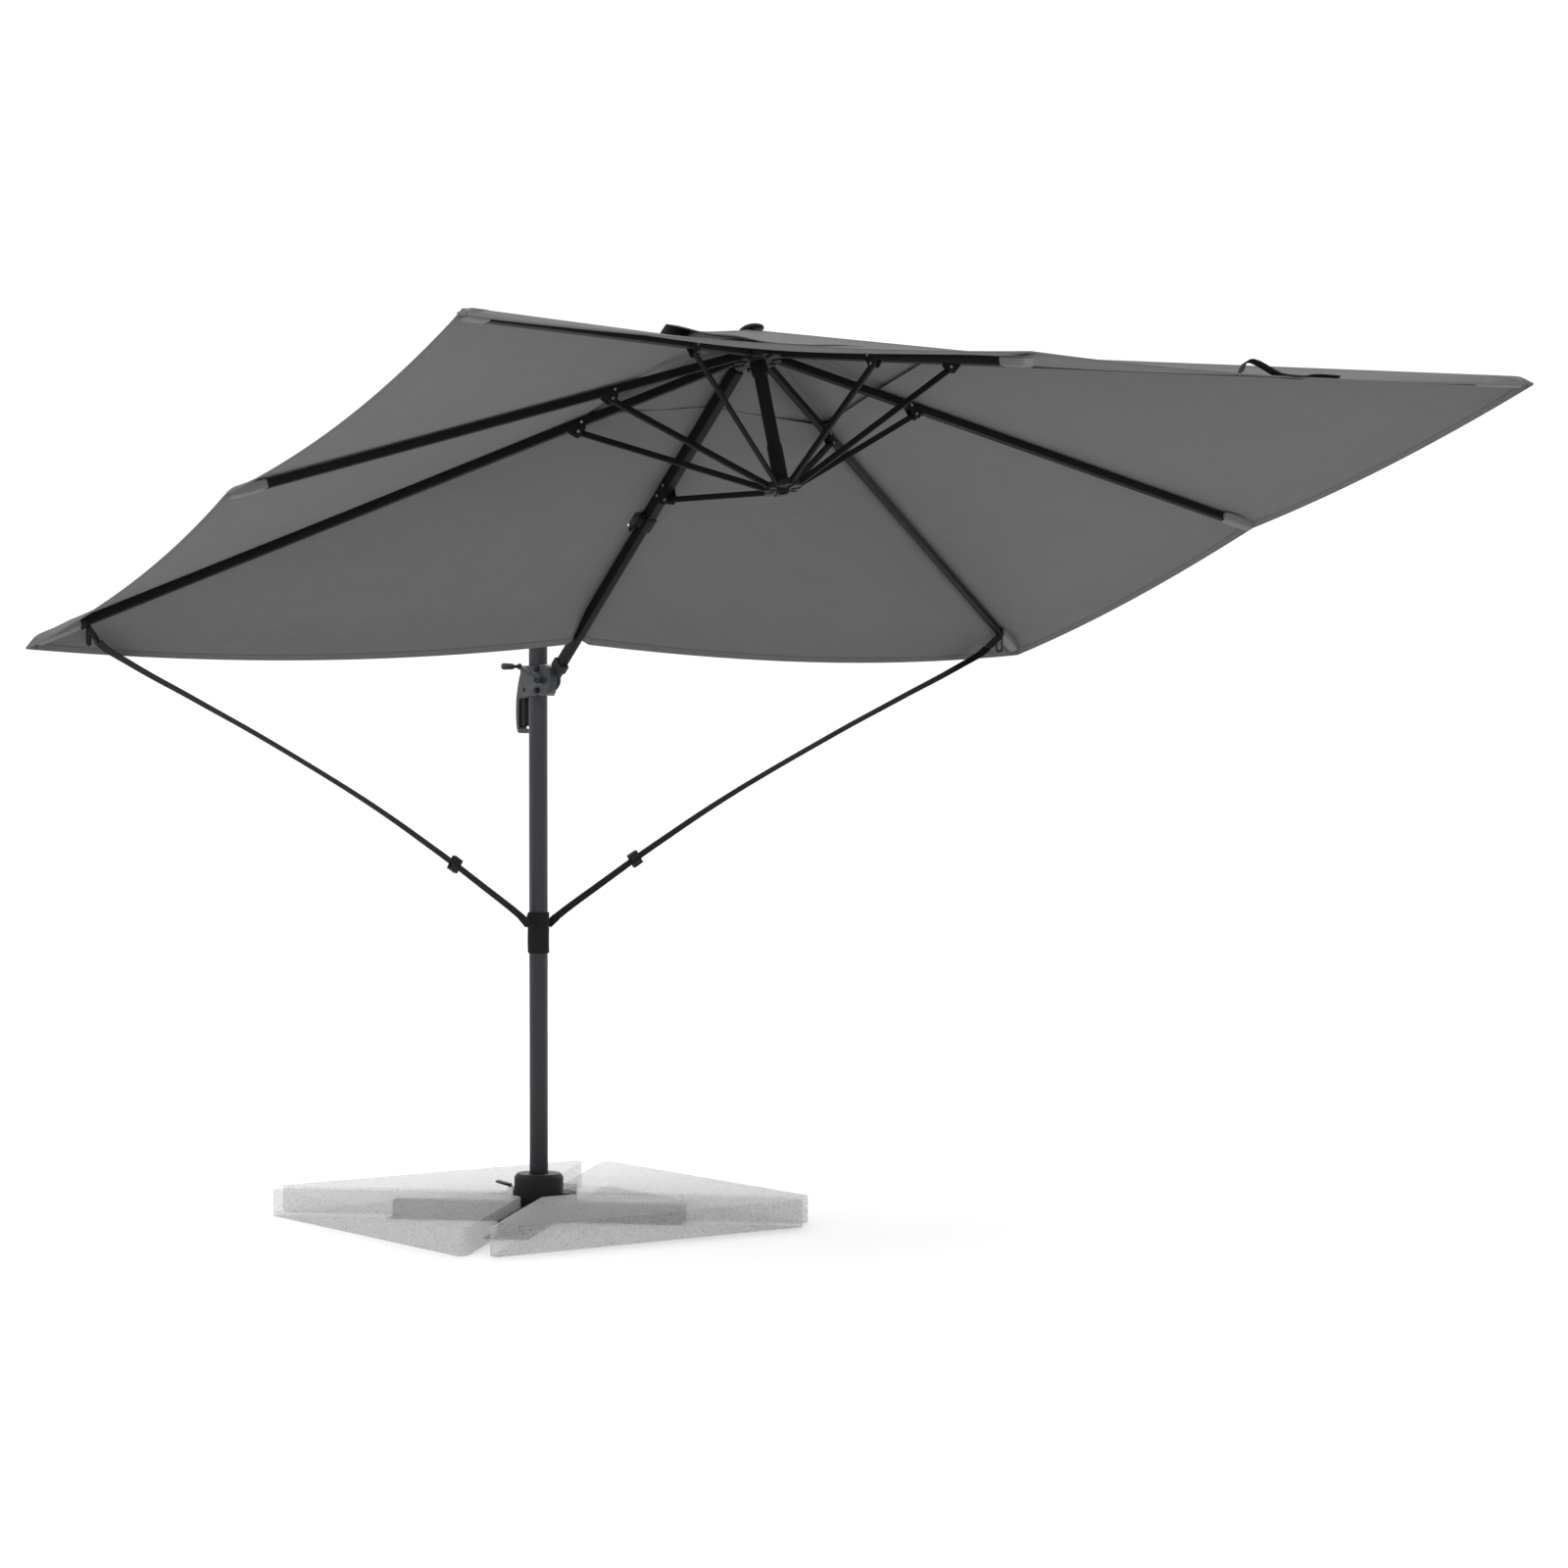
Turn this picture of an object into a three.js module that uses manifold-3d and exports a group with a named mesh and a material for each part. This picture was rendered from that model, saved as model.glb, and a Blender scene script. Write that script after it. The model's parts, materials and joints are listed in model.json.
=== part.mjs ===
// A cantilever parasol with a rectangular canopy, a sliding carriage with a crank, and a slab-weighted cross foot.
// Millimetres, +Z up. The origin is on the floor on the mast's axis; +X runs from the mast to the canopy's middle.
import * as THREE from "three";
import { mergeVertices } from "three/addons/utils/BufferGeometryUtils.js";
import Module from "manifold-3d";

const wasm = await Module();
wasm.setup();

// ---------------------------------------------------------------- driving dimensions
const GAP = 0.3; // between pieces that touch on the real object
const RUNNING = 0.6; // each side, between pieces that turn or slide past each other

// cross foot and slabs
const barReach = 385; // mast axis to the end of a cross bar
const barWidth = 40;
const barHeight = 45;
const barWall = 2.5;
const flangeWidth = 110; // the flat foot of a bar, which the slabs hold down
const flangeThickness = 4;
const slabReach = 528; // mast axis to a slab's outer face
const slabHalfLength = 462; // half of a slab's outer face
const slabThickness = 70;
const slabAisle = 54; // free width between two slabs, where a bar lies
const slabApex = 86; // mast axis to a slab's clipped inner corner

// mast
const mastRadius = 24;
const mastWall = 2.5;
const mastFoot = 56; // height of the mast's lower end
const mastSplit = 745; // height where the upper tube stands on the lower one
const spigotReach = 95; // the inner sleeve, above and below the split
const sleeveHeight = 105; // textile collar that the storm straps hang from
const sleeveMiddle = 744.5;
const sleeveThickness = 4;

// foot bearing, cover and pedal
const spindleRadius = 18;
const spindleTop = 260;
const flangeRadius = 60;
const bushLip = 8; // swivel bush's shoulder, beyond the mast's wall
const coverRadius = 63.5;
const coverTop = 120;
const coverWall = 3;
const discRadius = 52; // brake disc on the mast's foot
const discBottom = 66;
const discThickness = 5;
const pedalPivotX = 72;
const pedalPivotZ = 62;
const pedalReach = 112; // mast axis to the pedal's tip
const pedalAzimuth = 225;

// carriage
const pivotStandOff = 39; // arm pivot and crank axis, in front of the mast's wall
const pivotX = mastRadius + pivotStandOff;
const pivotZ = 1398.6;
const carriageTop = 1436;
const carriageBottom = 1357.7;
const bushWall = 2.7;
const shellWall = 2; // of the carriage's shells, beside the bush
const carriageHalfWidth = mastRadius + GAP + bushWall + shellWall;
const carriageBack = -(mastRadius + 16);
const carriageFront = mastRadius + 21;
const noseRadius = 16; // on the housing's front corners
const lobeRadius = 41; // gear housing on the crank side
const lugRadius = 20;
const gripHalfWidth = 12;
const gripOuter = -(mastRadius + 66);
const gripInner = -(mastRadius + 50);
const gripBottom = 1261;
const gripWall = 3;
const triggerX = gripInner + 14;
const triggerPivotZ = 1362;
const triggerBottom = 1279;
const triggerHalfWidth = 8;

// crank
const drumRadius = 10;
const crankLength = 87;
const crankAngle = 156;
const crankShaftRadius = 8;
const knobLength = 50;

// arm
const armAngle = 42.1; // above the horizontal
const armLength = 1152; // carriage pivot to hub pin
const pinRadius = 4;
const knuckleHalfWidth = 8.7;
const knuckleRadius = 28;
const socketStart = 42; // the knuckle's socket for the arm tube
const socketEnd = 68;
const armTubeWidth = 20;
const armTubeHeight = 26;
const armTubeWall = 2;
const outerTubeWall = 1.4; // of the upper arm tube, which the lower one slides into
const armSplit = 626;
const armOverlap = 45;
const armStrutReach = 696; // carriage pivot to the pin of the arm's strut
const armStrutDrop = 31;

// link from the mast's top to the arm
const linkReach = 583; // carriage pivot to the link's pin, along the arm
const linkRise = 30; // and above the arm's axis
const linkSide = -(mastRadius + 7); // the link's middle plane, to one side of the arm
const linkWidth = 16;
const linkThickness = 8;
const earThickness = 3.2;
const collarWall = 5; // of the cap on the mast's top
const collarRadius = mastRadius + collarWall;

// hub, pole and runner
const canopyTilt = 18.03; // the mast side hangs lower
const hubPinX = -48;
const hubPinZ = 3;
const hubRadius = 58;
const hubThickness = 32;
const hubPlate = 6;
const hingeRadius = 48; // where the ribs' hinge pins sit
const hingeDrop = 14;
const poleRadius = 16;
const poleWall = 3.5;
const runnerHeight = -346; // runner's pins, in the hub's frame
const runnerRadius = 45;
const runnerThickness = 16;
const runnerPinRadius = 34;
const runnerNeck = 105;
const neckWall = 2;

// ribs and struts
const ribWidth = 14;
const ribHeight = 20;
const ribWall = 1.3;
const bracketReach = 418; // rib hinge to strut pin
const bracketDrop = 20;
const bracketThickness = 2.2;
const strutWidth = 9;
const strutHeight = 14;
const strutPinInset = 7;

// canopy
const canopyHalfWidth = 1500; // across the arm
const canopyHalfDepth = 1016; // along the arm
const sideReach = 1492; // middle of a short edge
const frontReach = 955; // middle of a long edge
const rimDrop = 410; // rim below the hub's centre
const cornerInset = 32; // rib tip to canopy corner
const sideInset = 18;
const fabricThickness = 4;
const fabricLift = 4; // fabric above the ribs
const ventShare = 0.235; // of the canopy's plan size
const capShare = 0.31;
const capApex = 50;
const capLift = 10;
const scallopShort = 38; // how far the edges curve in between the ribs
const scallopLong = 46;
const finialRadius = 30;

// storm straps
const strapWidth = 25;
const strapThickness = 3;
const hookInset = 150; // strap hook to canopy corner, along the rib
const hookLength = 46;
const hookWidth = 20;

// ---------------------------------------------------------------- materials
const paint = (color, roughness, metalness) =>
  new THREE.MeshStandardMaterial({ color, roughness, metalness });
const anthracite = paint(0x3a3a40, 0.45, 0.5);
const blackPaint = paint(0x1f1f23, 0.5, 0.4);
const blackPlastic = paint(0x212124, 0.6, 0);
const greyPlastic = paint(0x4a4e57, 0.5, 0);
const steel = paint(0xb9b6a8, 0.35, 1);
const granite = paint(0xb4b4b2, 0.85, 0);
const canvas = paint(0x6c6b6c, 0.95, 0);
const webbing = paint(0x1d1d1f, 0.9, 0);

// ---------------------------------------------------------------- helpers
const radians = THREE.MathUtils.degToRad;
const parasol = new THREE.Group();

function toSolid(shape) {
  if (!shape.isBufferGeometry) return shape;
  const bare = shape.clone();
  bare.deleteAttribute("normal");
  bare.deleteAttribute("uv");
  const merged = mergeVertices(bare, 1e-3);
  const corners = merged.index.array;
  const kept = [];
  for (let i = 0; i < corners.length; i += 3) {
    const [a, b, c] = [corners[i], corners[i + 1], corners[i + 2]];
    if (a !== b && b !== c && a !== c) kept.push(a, b, c);
  }
  const vertProperties = merged.attributes.position.array;
  const make = (triVerts) =>
    new wasm.Manifold(
      new wasm.Mesh({ numProp: 3, vertProperties, triVerts: new Uint32Array(triVerts) }),
    );
  const made = make(kept);
  return made.volume() > 0 ? made : make(kept.toReversed());
}

const join = (...shapes) => shapes.map(toSolid).reduce((all, next) => all.add(next));
const cut = (shape, ...tools) =>
  tools.map(toSolid).reduce((left, tool) => left.subtract(tool), toSolid(shape));

function piece(parent, name, shape, material) {
  const { vertProperties, triVerts } = toSolid(shape).getMesh();
  const geometry = new THREE.BufferGeometry();
  geometry.setAttribute("position", new THREE.BufferAttribute(vertProperties, 3));
  geometry.setIndex(new THREE.BufferAttribute(triVerts, 1));
  geometry.computeVertexNormals();
  const mesh = new THREE.Mesh(geometry, material);
  mesh.name = name;
  parent.add(mesh);
  return mesh;
}

function frameIn(parent, position, { turn = 0, slope = 0 } = {}) {
  const frame = new THREE.Group();
  frame.position.set(...position);
  frame.rotation.set(0, slope, turn, "ZYX");
  parent.add(frame);
  return frame;
}

function box(x, y, z) {
  const size = [x, y, z].map(([low, high]) => high - low);
  const middle = [x, y, z].map(([low, high]) => (low + high) / 2);
  return new THREE.BoxGeometry(...size).translate(...middle);
}

const turnTo = {
  x: (geometry) => geometry.rotateZ(-Math.PI / 2),
  y: (geometry) => geometry,
  z: (geometry) => geometry.rotateX(Math.PI / 2),
};

function rod(axis, radius, [low, high], [a, b] = [0, 0], sides = 24) {
  const geometry = new THREE.CylinderGeometry(radius, radius, high - low, sides);
  const middle = (low + high) / 2;
  const place = { x: [middle, a, b], y: [a, middle, b], z: [a, b, middle] }[axis];
  return turnTo[axis](geometry).translate(...place);
}

// A turned piece about Z. The profile's points are [radius, height].
function turned(profile, sides = 36) {
  const points = profile.map(([radius, height]) => new THREE.Vector2(radius, height));
  return new THREE.LatheGeometry(points, sides).rotateX(Math.PI / 2);
}

const ring = (inner, outer, [low, high], sides = 36) =>
  turned([[outer, low], [outer, high], [inner, high], [inner, low], [outer, low]], sides);

// A flat outline in X and Z, as thick as the span in Y.
function plate(shape, [low, high], curveSegments = 10) {
  return new THREE.ExtrudeGeometry(shape, { depth: high - low, bevelEnabled: false, curveSegments })
    .rotateX(Math.PI / 2)
    .translate(0, high, 0);
}

const outline = (points) => new THREE.Shape(points.map(([x, y]) => new THREE.Vector2(x, y)));

function stadium(width, length) {
  const r = width / 2;
  const shape = new THREE.Shape();
  shape.absarc(0, length / 2 - r, r, 0, Math.PI);
  shape.absarc(0, r - length / 2, r, Math.PI, 2 * Math.PI);
  return shape;
}

// ---------------------------------------------------------------- cross foot
function crossBar() {
  const half = barWidth / 2;
  const web = box([-barReach, barReach], [-half, half], [0, barHeight]);
  const foot = box([-barReach, barReach], [-flangeWidth / 2, flangeWidth / 2], [0, flangeThickness]);
  const inside = (from, to) =>
    box([from, to], [barWall - half, half - barWall], [flangeThickness + barWall, barHeight - barWall]);
  const solidMiddle = flangeWidth / 2 + 10;
  return cut(join(web, foot), inside(-barReach - 1, -solidMiddle), inside(solidMiddle, barReach + 1));
}

function lowerBar() {
  const lap = barWidth / 2 + GAP;
  return cut(crossBar(), box([-lap, lap], [-barWidth, barWidth], [barHeight / 2 - GAP / 2, barHeight + 1]));
}

function upperBar() {
  const lap = barWidth / 2 + GAP;
  const overFoot = flangeWidth / 2 + GAP;
  return cut(
    crossBar(),
    box([-lap, lap], [-barWidth, barWidth], [-1, barHeight / 2 + GAP / 2]),
    box([-overFoot, overFoot], [-flangeWidth, flangeWidth], [-1, flangeThickness + GAP]),
  );
}

// One slab, its outer face across +X. Its two inner edges are rebated over the bars' feet.
function slab() {
  const aisle = (slabAisle / 2) * Math.SQRT2;
  const tip = slabHalfLength + aisle;
  const side = (x) => x - aisle;
  const shape = outline([
    [slabApex, -side(slabApex)],
    [tip, -slabHalfLength],
    [slabReach, -slabHalfLength],
    [slabReach, slabHalfLength],
    [tip, slabHalfLength],
    [slabApex, side(slabApex)],
  ]);
  const block = new THREE.ExtrudeGeometry(shape, { depth: slabThickness, bevelEnabled: false });
  const rebate = (angle) =>
    box(
      [0, barReach + 2],
      [-flangeWidth / 2 - 1, flangeWidth / 2 + 1],
      [-1, flangeThickness + GAP],
    ).rotateZ(angle);
  return cut(block, rebate(Math.PI / 4), rebate(-Math.PI / 4));
}

function addFoot() {
  const lower = frameIn(parasol, [0, 0, 0], { turn: radians(45) });
  const upper = frameIn(parasol, [0, 0, 0], { turn: radians(-45) });
  piece(lower, "cross_bar_lower", lowerBar(), blackPaint);
  piece(upper, "cross_bar_upper", upperBar(), blackPaint);
  ["front", "left", "rear", "right"].forEach((side, quarter) => {
    const place = frameIn(parasol, [0, 0, 0], { turn: (quarter * Math.PI) / 2 });
    piece(place, `slab_${side}`, slab(), granite);
  });
}

// ---------------------------------------------------------------- foot bearing and pedal
function socketFlange() {
  const low = barHeight + GAP;
  const disc = rod("z", flangeRadius, [low, low + 6], [0, 0], 48);
  const spindle = rod("z", spindleRadius, [low, spindleTop], [0, 0], 32);
  const bolt = (quarter) => {
    const angle = radians(45 + 90 * quarter);
    const at = [46 * Math.cos(angle), 46 * Math.sin(angle)];
    return rod("z", 7, [low + 1, low + 12], at, 6);
  };
  return join(disc, spindle, bolt(0), bolt(1), bolt(2), bolt(3));
}

function swivelBush() {
  const inner = spindleRadius + GAP;
  const outer = mastRadius - mastWall - GAP;
  const low = barHeight + GAP + 6 + GAP;
  const shoulder = mastFoot - GAP;
  return turned([
    [mastRadius + bushLip, low],
    [mastRadius + bushLip, shoulder],
    [outer, shoulder],
    [outer, spindleTop - 10],
    [inner, spindleTop - 10],
    [inner, low],
    [mastRadius + bushLip, low],
  ]);
}

function socketCover() {
  const low = barHeight + GAP;
  const bore = mastRadius + 1.5;
  const inner = coverRadius - coverWall;
  const shell = turned([
    [coverRadius, low],
    [coverRadius, coverTop - 9],
    [coverRadius - 7, coverTop],
    [bore, coverTop],
    [bore, coverTop - coverWall],
    [inner - 6, coverTop - coverWall],
    [inner, coverTop - 12],
    [inner, low],
    [coverRadius, low],
  ], 48);
  const tab = box([coverRadius - 2, 80], [-12, 12], [62, 70]).rotateZ(radians(45));
  const window = box([coverRadius - 12, coverRadius + 8], [-14.5, 14.5], [low - 1, 92]);
  return cut(join(shell, tab), window.rotateZ(radians(pedalAzimuth)));
}

function pedalBracket() {
  const low = barHeight + GAP;
  const base = box([coverRadius + 1, 84], [-13, 13], [low, low + 2]);
  const cheek = (y) => box([coverRadius + 1, 79], [y, y + 2], [low, 84]);
  return join(base, cheek(-13), cheek(11));
}

function footPedal() {
  const lever = plate(outline([
    [discRadius + GAP, 64],
    [66, 64],
    [68, 56],
    [76, 56],
    [78, 66],
    [80, 86],
    [pedalReach - 1, 95],
    [pedalReach, 99],
    [74, 91],
    [70, 74],
    [discRadius + GAP, 74],
  ]), [-9, 9]);
  const pad = plate(outline([[82, 86.5], [pedalReach - 1, 95], [pedalReach, 99], [82, 92]]), [-15, 15]);
  return join(lever, pad);
}

function addBearing() {
  piece(parasol, "socket_flange", socketFlange(), steel);
  piece(parasol, "swivel_bush", swivelBush(), blackPlastic);
  piece(parasol, "socket_cover", socketCover(), blackPlastic);
  const side = frameIn(parasol, [0, 0, 0], { turn: radians(pedalAzimuth) });
  piece(side, "pedal_bracket", pedalBracket(), steel);
  piece(side, "foot_pedal", footPedal(), blackPlastic);
}

// ---------------------------------------------------------------- mast
const linkLength = Math.hypot(linkReach, linkRise);
const linkAngle = radians(armAngle) + Math.atan2(linkRise, linkReach);
const mastPivotZ = pivotZ + 2 * linkLength * Math.sin(linkAngle); // equal arms: the pins stand on one vertical
const mastTop = mastPivotZ + 16;

function topBracket() {
  const inner = mastRadius + GAP;
  const low = mastPivotZ - 26;
  const collar = turned([
    [0, mastTop + 4],
    [0, mastTop + GAP],
    [inner, mastTop + GAP],
    [inner, low],
    [collarRadius, low],
    [collarRadius, mastTop],
    [collarRadius - 4, mastTop + 4],
    [0, mastTop + 4],
  ]);
  const earShape = outline([
    [0, mastPivotZ - 18],
    [pivotX - 6, mastPivotZ - 11],
    [pivotX + 9, mastPivotZ - 6],
    [pivotX + 9, mastPivotZ + 6],
    [pivotX - 6, mastPivotZ + 11],
    [0, mastPivotZ + 11],
  ]);
  const near = linkSide + linkThickness / 2 + RUNNING;
  const far = linkSide - linkThickness / 2 - RUNNING;
  const innerEar = plate(earShape, [near, near + earThickness]);
  const outerEar = plate(earShape, [far - earThickness, far]);
  const bridge = box([0, 12], [far - earThickness, near + earThickness], [mastPivotZ - 18, mastPivotZ + 11]);
  const bore = rod("z", inner, [low - 1, mastTop + GAP], [0, 0], 36);
  return cut(join(collar, innerEar, outerEar, bridge), bore);
}

function addMast() {
  const inner = mastRadius - mastWall;
  const spigot = inner - GAP;
  const span = [sleeveMiddle - sleeveHeight / 2, sleeveMiddle + sleeveHeight / 2];
  const sleeveInner = mastRadius + GAP;
  const split = [mastSplit - spigotReach, mastSplit + spigotReach];
  const disc = ring(mastRadius + GAP, discRadius, [discBottom, discBottom + discThickness], 48);
  const discHub = ring(mastRadius + GAP, mastRadius + 6, [discBottom, discBottom + 22]);
  piece(parasol, "mast_lower_tube", ring(inner, mastRadius, [mastFoot, mastSplit - GAP / 2]), anthracite);
  piece(parasol, "mast_upper_tube", ring(inner, mastRadius, [mastSplit + GAP / 2, mastTop]), anthracite);
  piece(parasol, "mast_joint_sleeve", ring(spigot - 2.5, spigot, split), steel);
  piece(parasol, "brake_disc", join(disc, discHub), steel);
  piece(parasol, "mast_top_bracket", topBracket(), blackPaint);
  piece(parasol, "strap_sleeve", ring(sleeveInner, sleeveInner + sleeveThickness, span), webbing);
}

// ---------------------------------------------------------------- carriage
const bushOuter = mastRadius + GAP + bushWall;
const triggerWell = triggerPivotZ + 10;
const handleThroat = 1352; // top of the finger gap

function housingOutline() {
  const r = 14;
  const shape = new THREE.Shape();
  shape.moveTo(carriageFront - noseRadius, carriageBottom);
  shape.quadraticCurveTo(carriageFront, carriageBottom, carriageFront, carriageBottom + noseRadius);
  shape.lineTo(carriageFront, carriageTop - 4);
  shape.lineTo(carriageFront - 4, carriageTop);
  shape.lineTo(carriageBack + r, carriageTop);
  shape.absarc(carriageBack + r, carriageTop - r, r, Math.PI / 2, Math.PI);
  shape.lineTo(carriageBack, carriageBottom);
  return shape;
}

function handleOutline() {
  const root = -mastRadius - 6;
  const shape = new THREE.Shape();
  shape.moveTo(root, carriageTop);
  shape.lineTo(gripOuter + 34, carriageTop - 2);
  shape.quadraticCurveTo(gripOuter + 14, 1410, gripOuter + 3, 1350);
  shape.quadraticCurveTo(gripOuter - 1, 1300, gripOuter + 7, gripBottom + 8);
  shape.quadraticCurveTo(gripOuter + 10, gripBottom, gripOuter + 20, gripBottom);
  shape.lineTo(-mastRadius + 4, gripBottom);
  shape.lineTo(-mastRadius + 4, gripBottom + 11);
  shape.lineTo(gripInner + 8, gripBottom + 11);
  shape.quadraticCurveTo(gripInner, gripBottom + 11, gripInner, gripBottom + 20);
  shape.lineTo(gripInner, handleThroat - 12);
  shape.quadraticCurveTo(gripInner, handleThroat, gripInner + 12, handleThroat);
  shape.lineTo(root, handleThroat);
  return shape;
}

// Everything that is hollow in both shells: the mast's way, the knuckle's room, the drum's room and the trigger's well.
function hollows() {
  const room = triggerHalfWidth + GAP;
  return [
    rod("z", bushOuter + GAP, [carriageBottom - 1, carriageTop + 1]),
    rod("z", mastRadius + RUNNING, [gripBottom - 1, carriageBottom]),
    rod("y", knuckleRadius + 4, [-knuckleHalfWidth - GAP, knuckleHalfWidth + GAP], [pivotX, pivotZ], 40),
    rod("y", drumRadius + 2, [-26, 0], [pivotX, pivotZ]),
    box([gripInner, carriageBack - 4], [-room, room], [handleThroat - 1, triggerWell]),
    box([gripOuter + gripWall + 3, gripInner + 1], [-room, room], [gripBottom + 16, handleThroat]),
  ];
}

function rightShell() {
  const half = [-carriageHalfWidth, -GAP / 2];
  const housing = plate(housingOutline(), half);
  const handle = plate(handleOutline(), [-gripHalfWidth, -GAP / 2]);
  const lobe = rod("y", lobeRadius, [-carriageHalfWidth, -knuckleHalfWidth - GAP], [pivotX, pivotZ], 48);
  const boss = (x, z) => rod("y", 5, [-carriageHalfWidth - 2, -carriageHalfWidth + 1], [x, z], 16);
  const bearing = rod("y", 12, [-carriageHalfWidth - 3, -carriageHalfWidth + 1], [pivotX, pivotZ]);
  const shaftHole = rod("y", crankShaftRadius + GAP, [-carriageHalfWidth - 4, -20], [pivotX, pivotZ]);
  const recess = box([-mastRadius, -mastRadius + 7], [-carriageHalfWidth - 1, -carriageHalfWidth + 3], [1368, 1379]);
  const body = join(housing, handle, lobe, boss(carriageFront - 4, 1428), boss(carriageFront - 7, 1372), bearing);
  return cut(body, ...hollows(), shaftHole, recess);
}

// What is taken off the left shell's front corner to round it.
function noseCorner() {
  const height = [carriageBottom - 1, carriageTop + 1];
  const centre = [carriageFront - noseRadius, carriageHalfWidth - noseRadius];
  const corner = box([centre[0], carriageFront + 1], [centre[1], carriageHalfWidth + 1], height);
  return cut(corner, rod("z", noseRadius, height, centre, 32));
}

function leftShell() {
  const half = [GAP / 2, carriageHalfWidth];
  const housing = plate(housingOutline(), half);
  const handle = plate(handleOutline(), [GAP / 2, gripHalfWidth]);
  const inner = knuckleHalfWidth + GAP;
  const lug = rod("y", lugRadius, [inner, inner + 7], [pivotX, pivotZ], 32);
  const neck = box([carriageFront - 8, pivotX], [inner, inner + 7], [pivotZ - lugRadius + 2, pivotZ + lugRadius - 2]);
  const pinHole = rod("y", pinRadius + GAP, [inner - 1, inner + 8], [pivotX, pivotZ]);
  return cut(join(housing, handle, lug, neck), ...hollows(), pinHole, noseCorner());
}

function gripTrigger() {
  const front = triggerX + 8;
  const shape = new THREE.Shape();
  shape.moveTo(triggerX - 6, triggerWell - 2);
  shape.lineTo(triggerX - 6, triggerBottom + 4);
  shape.lineTo(triggerX - 3, triggerBottom);
  shape.lineTo(front - 2, triggerBottom);
  const waves = 4;
  const pitch = (handleThroat - 6 - triggerBottom) / waves;
  for (let i = 0; i < waves; i++) {
    const low = triggerBottom + i * pitch;
    shape.quadraticCurveTo(front + 3, low + pitch / 2, front - 2, low + pitch);
  }
  shape.lineTo(front, triggerWell - 2);
  return plate(shape, [-triggerHalfWidth, triggerHalfWidth], 4);
}

function addCarriage() {
  const bush = ring(mastRadius + GAP, bushOuter, [carriageBottom + 2, carriageTop - 2]);
  const inner = knuckleHalfWidth + GAP;
  piece(parasol, "carriage_shell_right", rightShell(), greyPlastic);
  piece(parasol, "carriage_shell_left", leftShell(), greyPlastic);
  piece(parasol, "carriage_bush", bush, blackPlastic);
  piece(parasol, "pivot_pin", rod("y", pinRadius, [-24, inner + 7], [pivotX, pivotZ]), steel);
  piece(parasol, "grip_trigger", gripTrigger(), blackPlastic);
}

// ---------------------------------------------------------------- crank
function addCrank() {
  const axis = frameIn(parasol, [pivotX, 0, pivotZ]);
  const armOuter = -carriageHalfWidth - 20;
  const armInner = armOuter + 6;
  const shaft = rod("y", crankShaftRadius, [armOuter, -26 + GAP]);
  const lever = box([0, crankLength], [armOuter, armInner], [-6, 6]).rotateY(-radians(crankAngle));
  const endX = crankLength * Math.cos(radians(crankAngle));
  const endZ = crankLength * Math.sin(radians(crankAngle));
  const eye = rod("y", 8, [armOuter, armInner], [endX, endZ]);
  const inner = pinRadius + GAP;
  const drum = turned([
    [inner, 9.4], [drumRadius, 9.4], [drumRadius, 11], [drumRadius - 3, 12.5],
    [drumRadius - 3, 22.5], [drumRadius, 24], [drumRadius, 25.4], [inner, 25.4], [inner, 9.4],
  ]).rotateX(Math.PI / 2);
  const knob = turned([
    [0, GAP], [5, GAP], [4.4, 14], [8, 18], [9, knobLength - 4], [7, knobLength], [0, knobLength],
  ], 20).rotateX(Math.PI / 2).translate(endX, armOuter, endZ);
  piece(axis, "crank_handle", join(shaft, lever, eye), greyPlastic);
  piece(axis, "cord_drum", drum, blackPlastic);
  piece(axis, "crank_knob", knob, greyPlastic);
}

// ---------------------------------------------------------------- arm and link
const arm = frameIn(parasol, [pivotX, 0, pivotZ], { slope: -radians(armAngle) });
const outerTubeWidth = armTubeWidth + 2 * (GAP + outerTubeWall);
const outerTubeHeight = armTubeHeight + 2 * (GAP + outerTubeWall);

const bar = ([from, to], width, height) =>
  box([from, to], [-width / 2, width / 2], [-height / 2, height / 2]);

function armKnuckle() {
  const eye = rod("y", knuckleRadius, [-knuckleHalfWidth, knuckleHalfWidth], [0, 0], 40);
  const neck = bar([0, socketEnd], 2 * knuckleHalfWidth, outerTubeHeight + 4);
  const socket = bar([socketStart, socketEnd], outerTubeWidth + 4, outerTubeHeight + 6);
  const bore = rod("y", pinRadius + GAP, [-20, 20]);
  const seat = bar([socketStart + 6, socketEnd + 1], armTubeWidth + 2 * GAP, armTubeHeight + 2 * GAP);
  return cut(join(eye, neck, socket), bore, seat);
}

function upperTube() {
  const end = armLength - 40;
  const tube = bar([armSplit - armOverlap, end], outerTubeWidth, outerTubeHeight);
  const tongue = bar([end - 10, armLength], ribWidth, 20);
  const tip = rod("y", 10, [-ribWidth / 2, ribWidth / 2], [armLength, 0]);
  const hollow = bar([armSplit - armOverlap - 1, end - 12], armTubeWidth + 2 * GAP, armTubeHeight + 2 * GAP);
  const hole = rod("y", pinRadius + GAP, [-20, 20], [armLength, 0]);
  return cut(join(tube, tongue, tip), hollow, hole);
}

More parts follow.
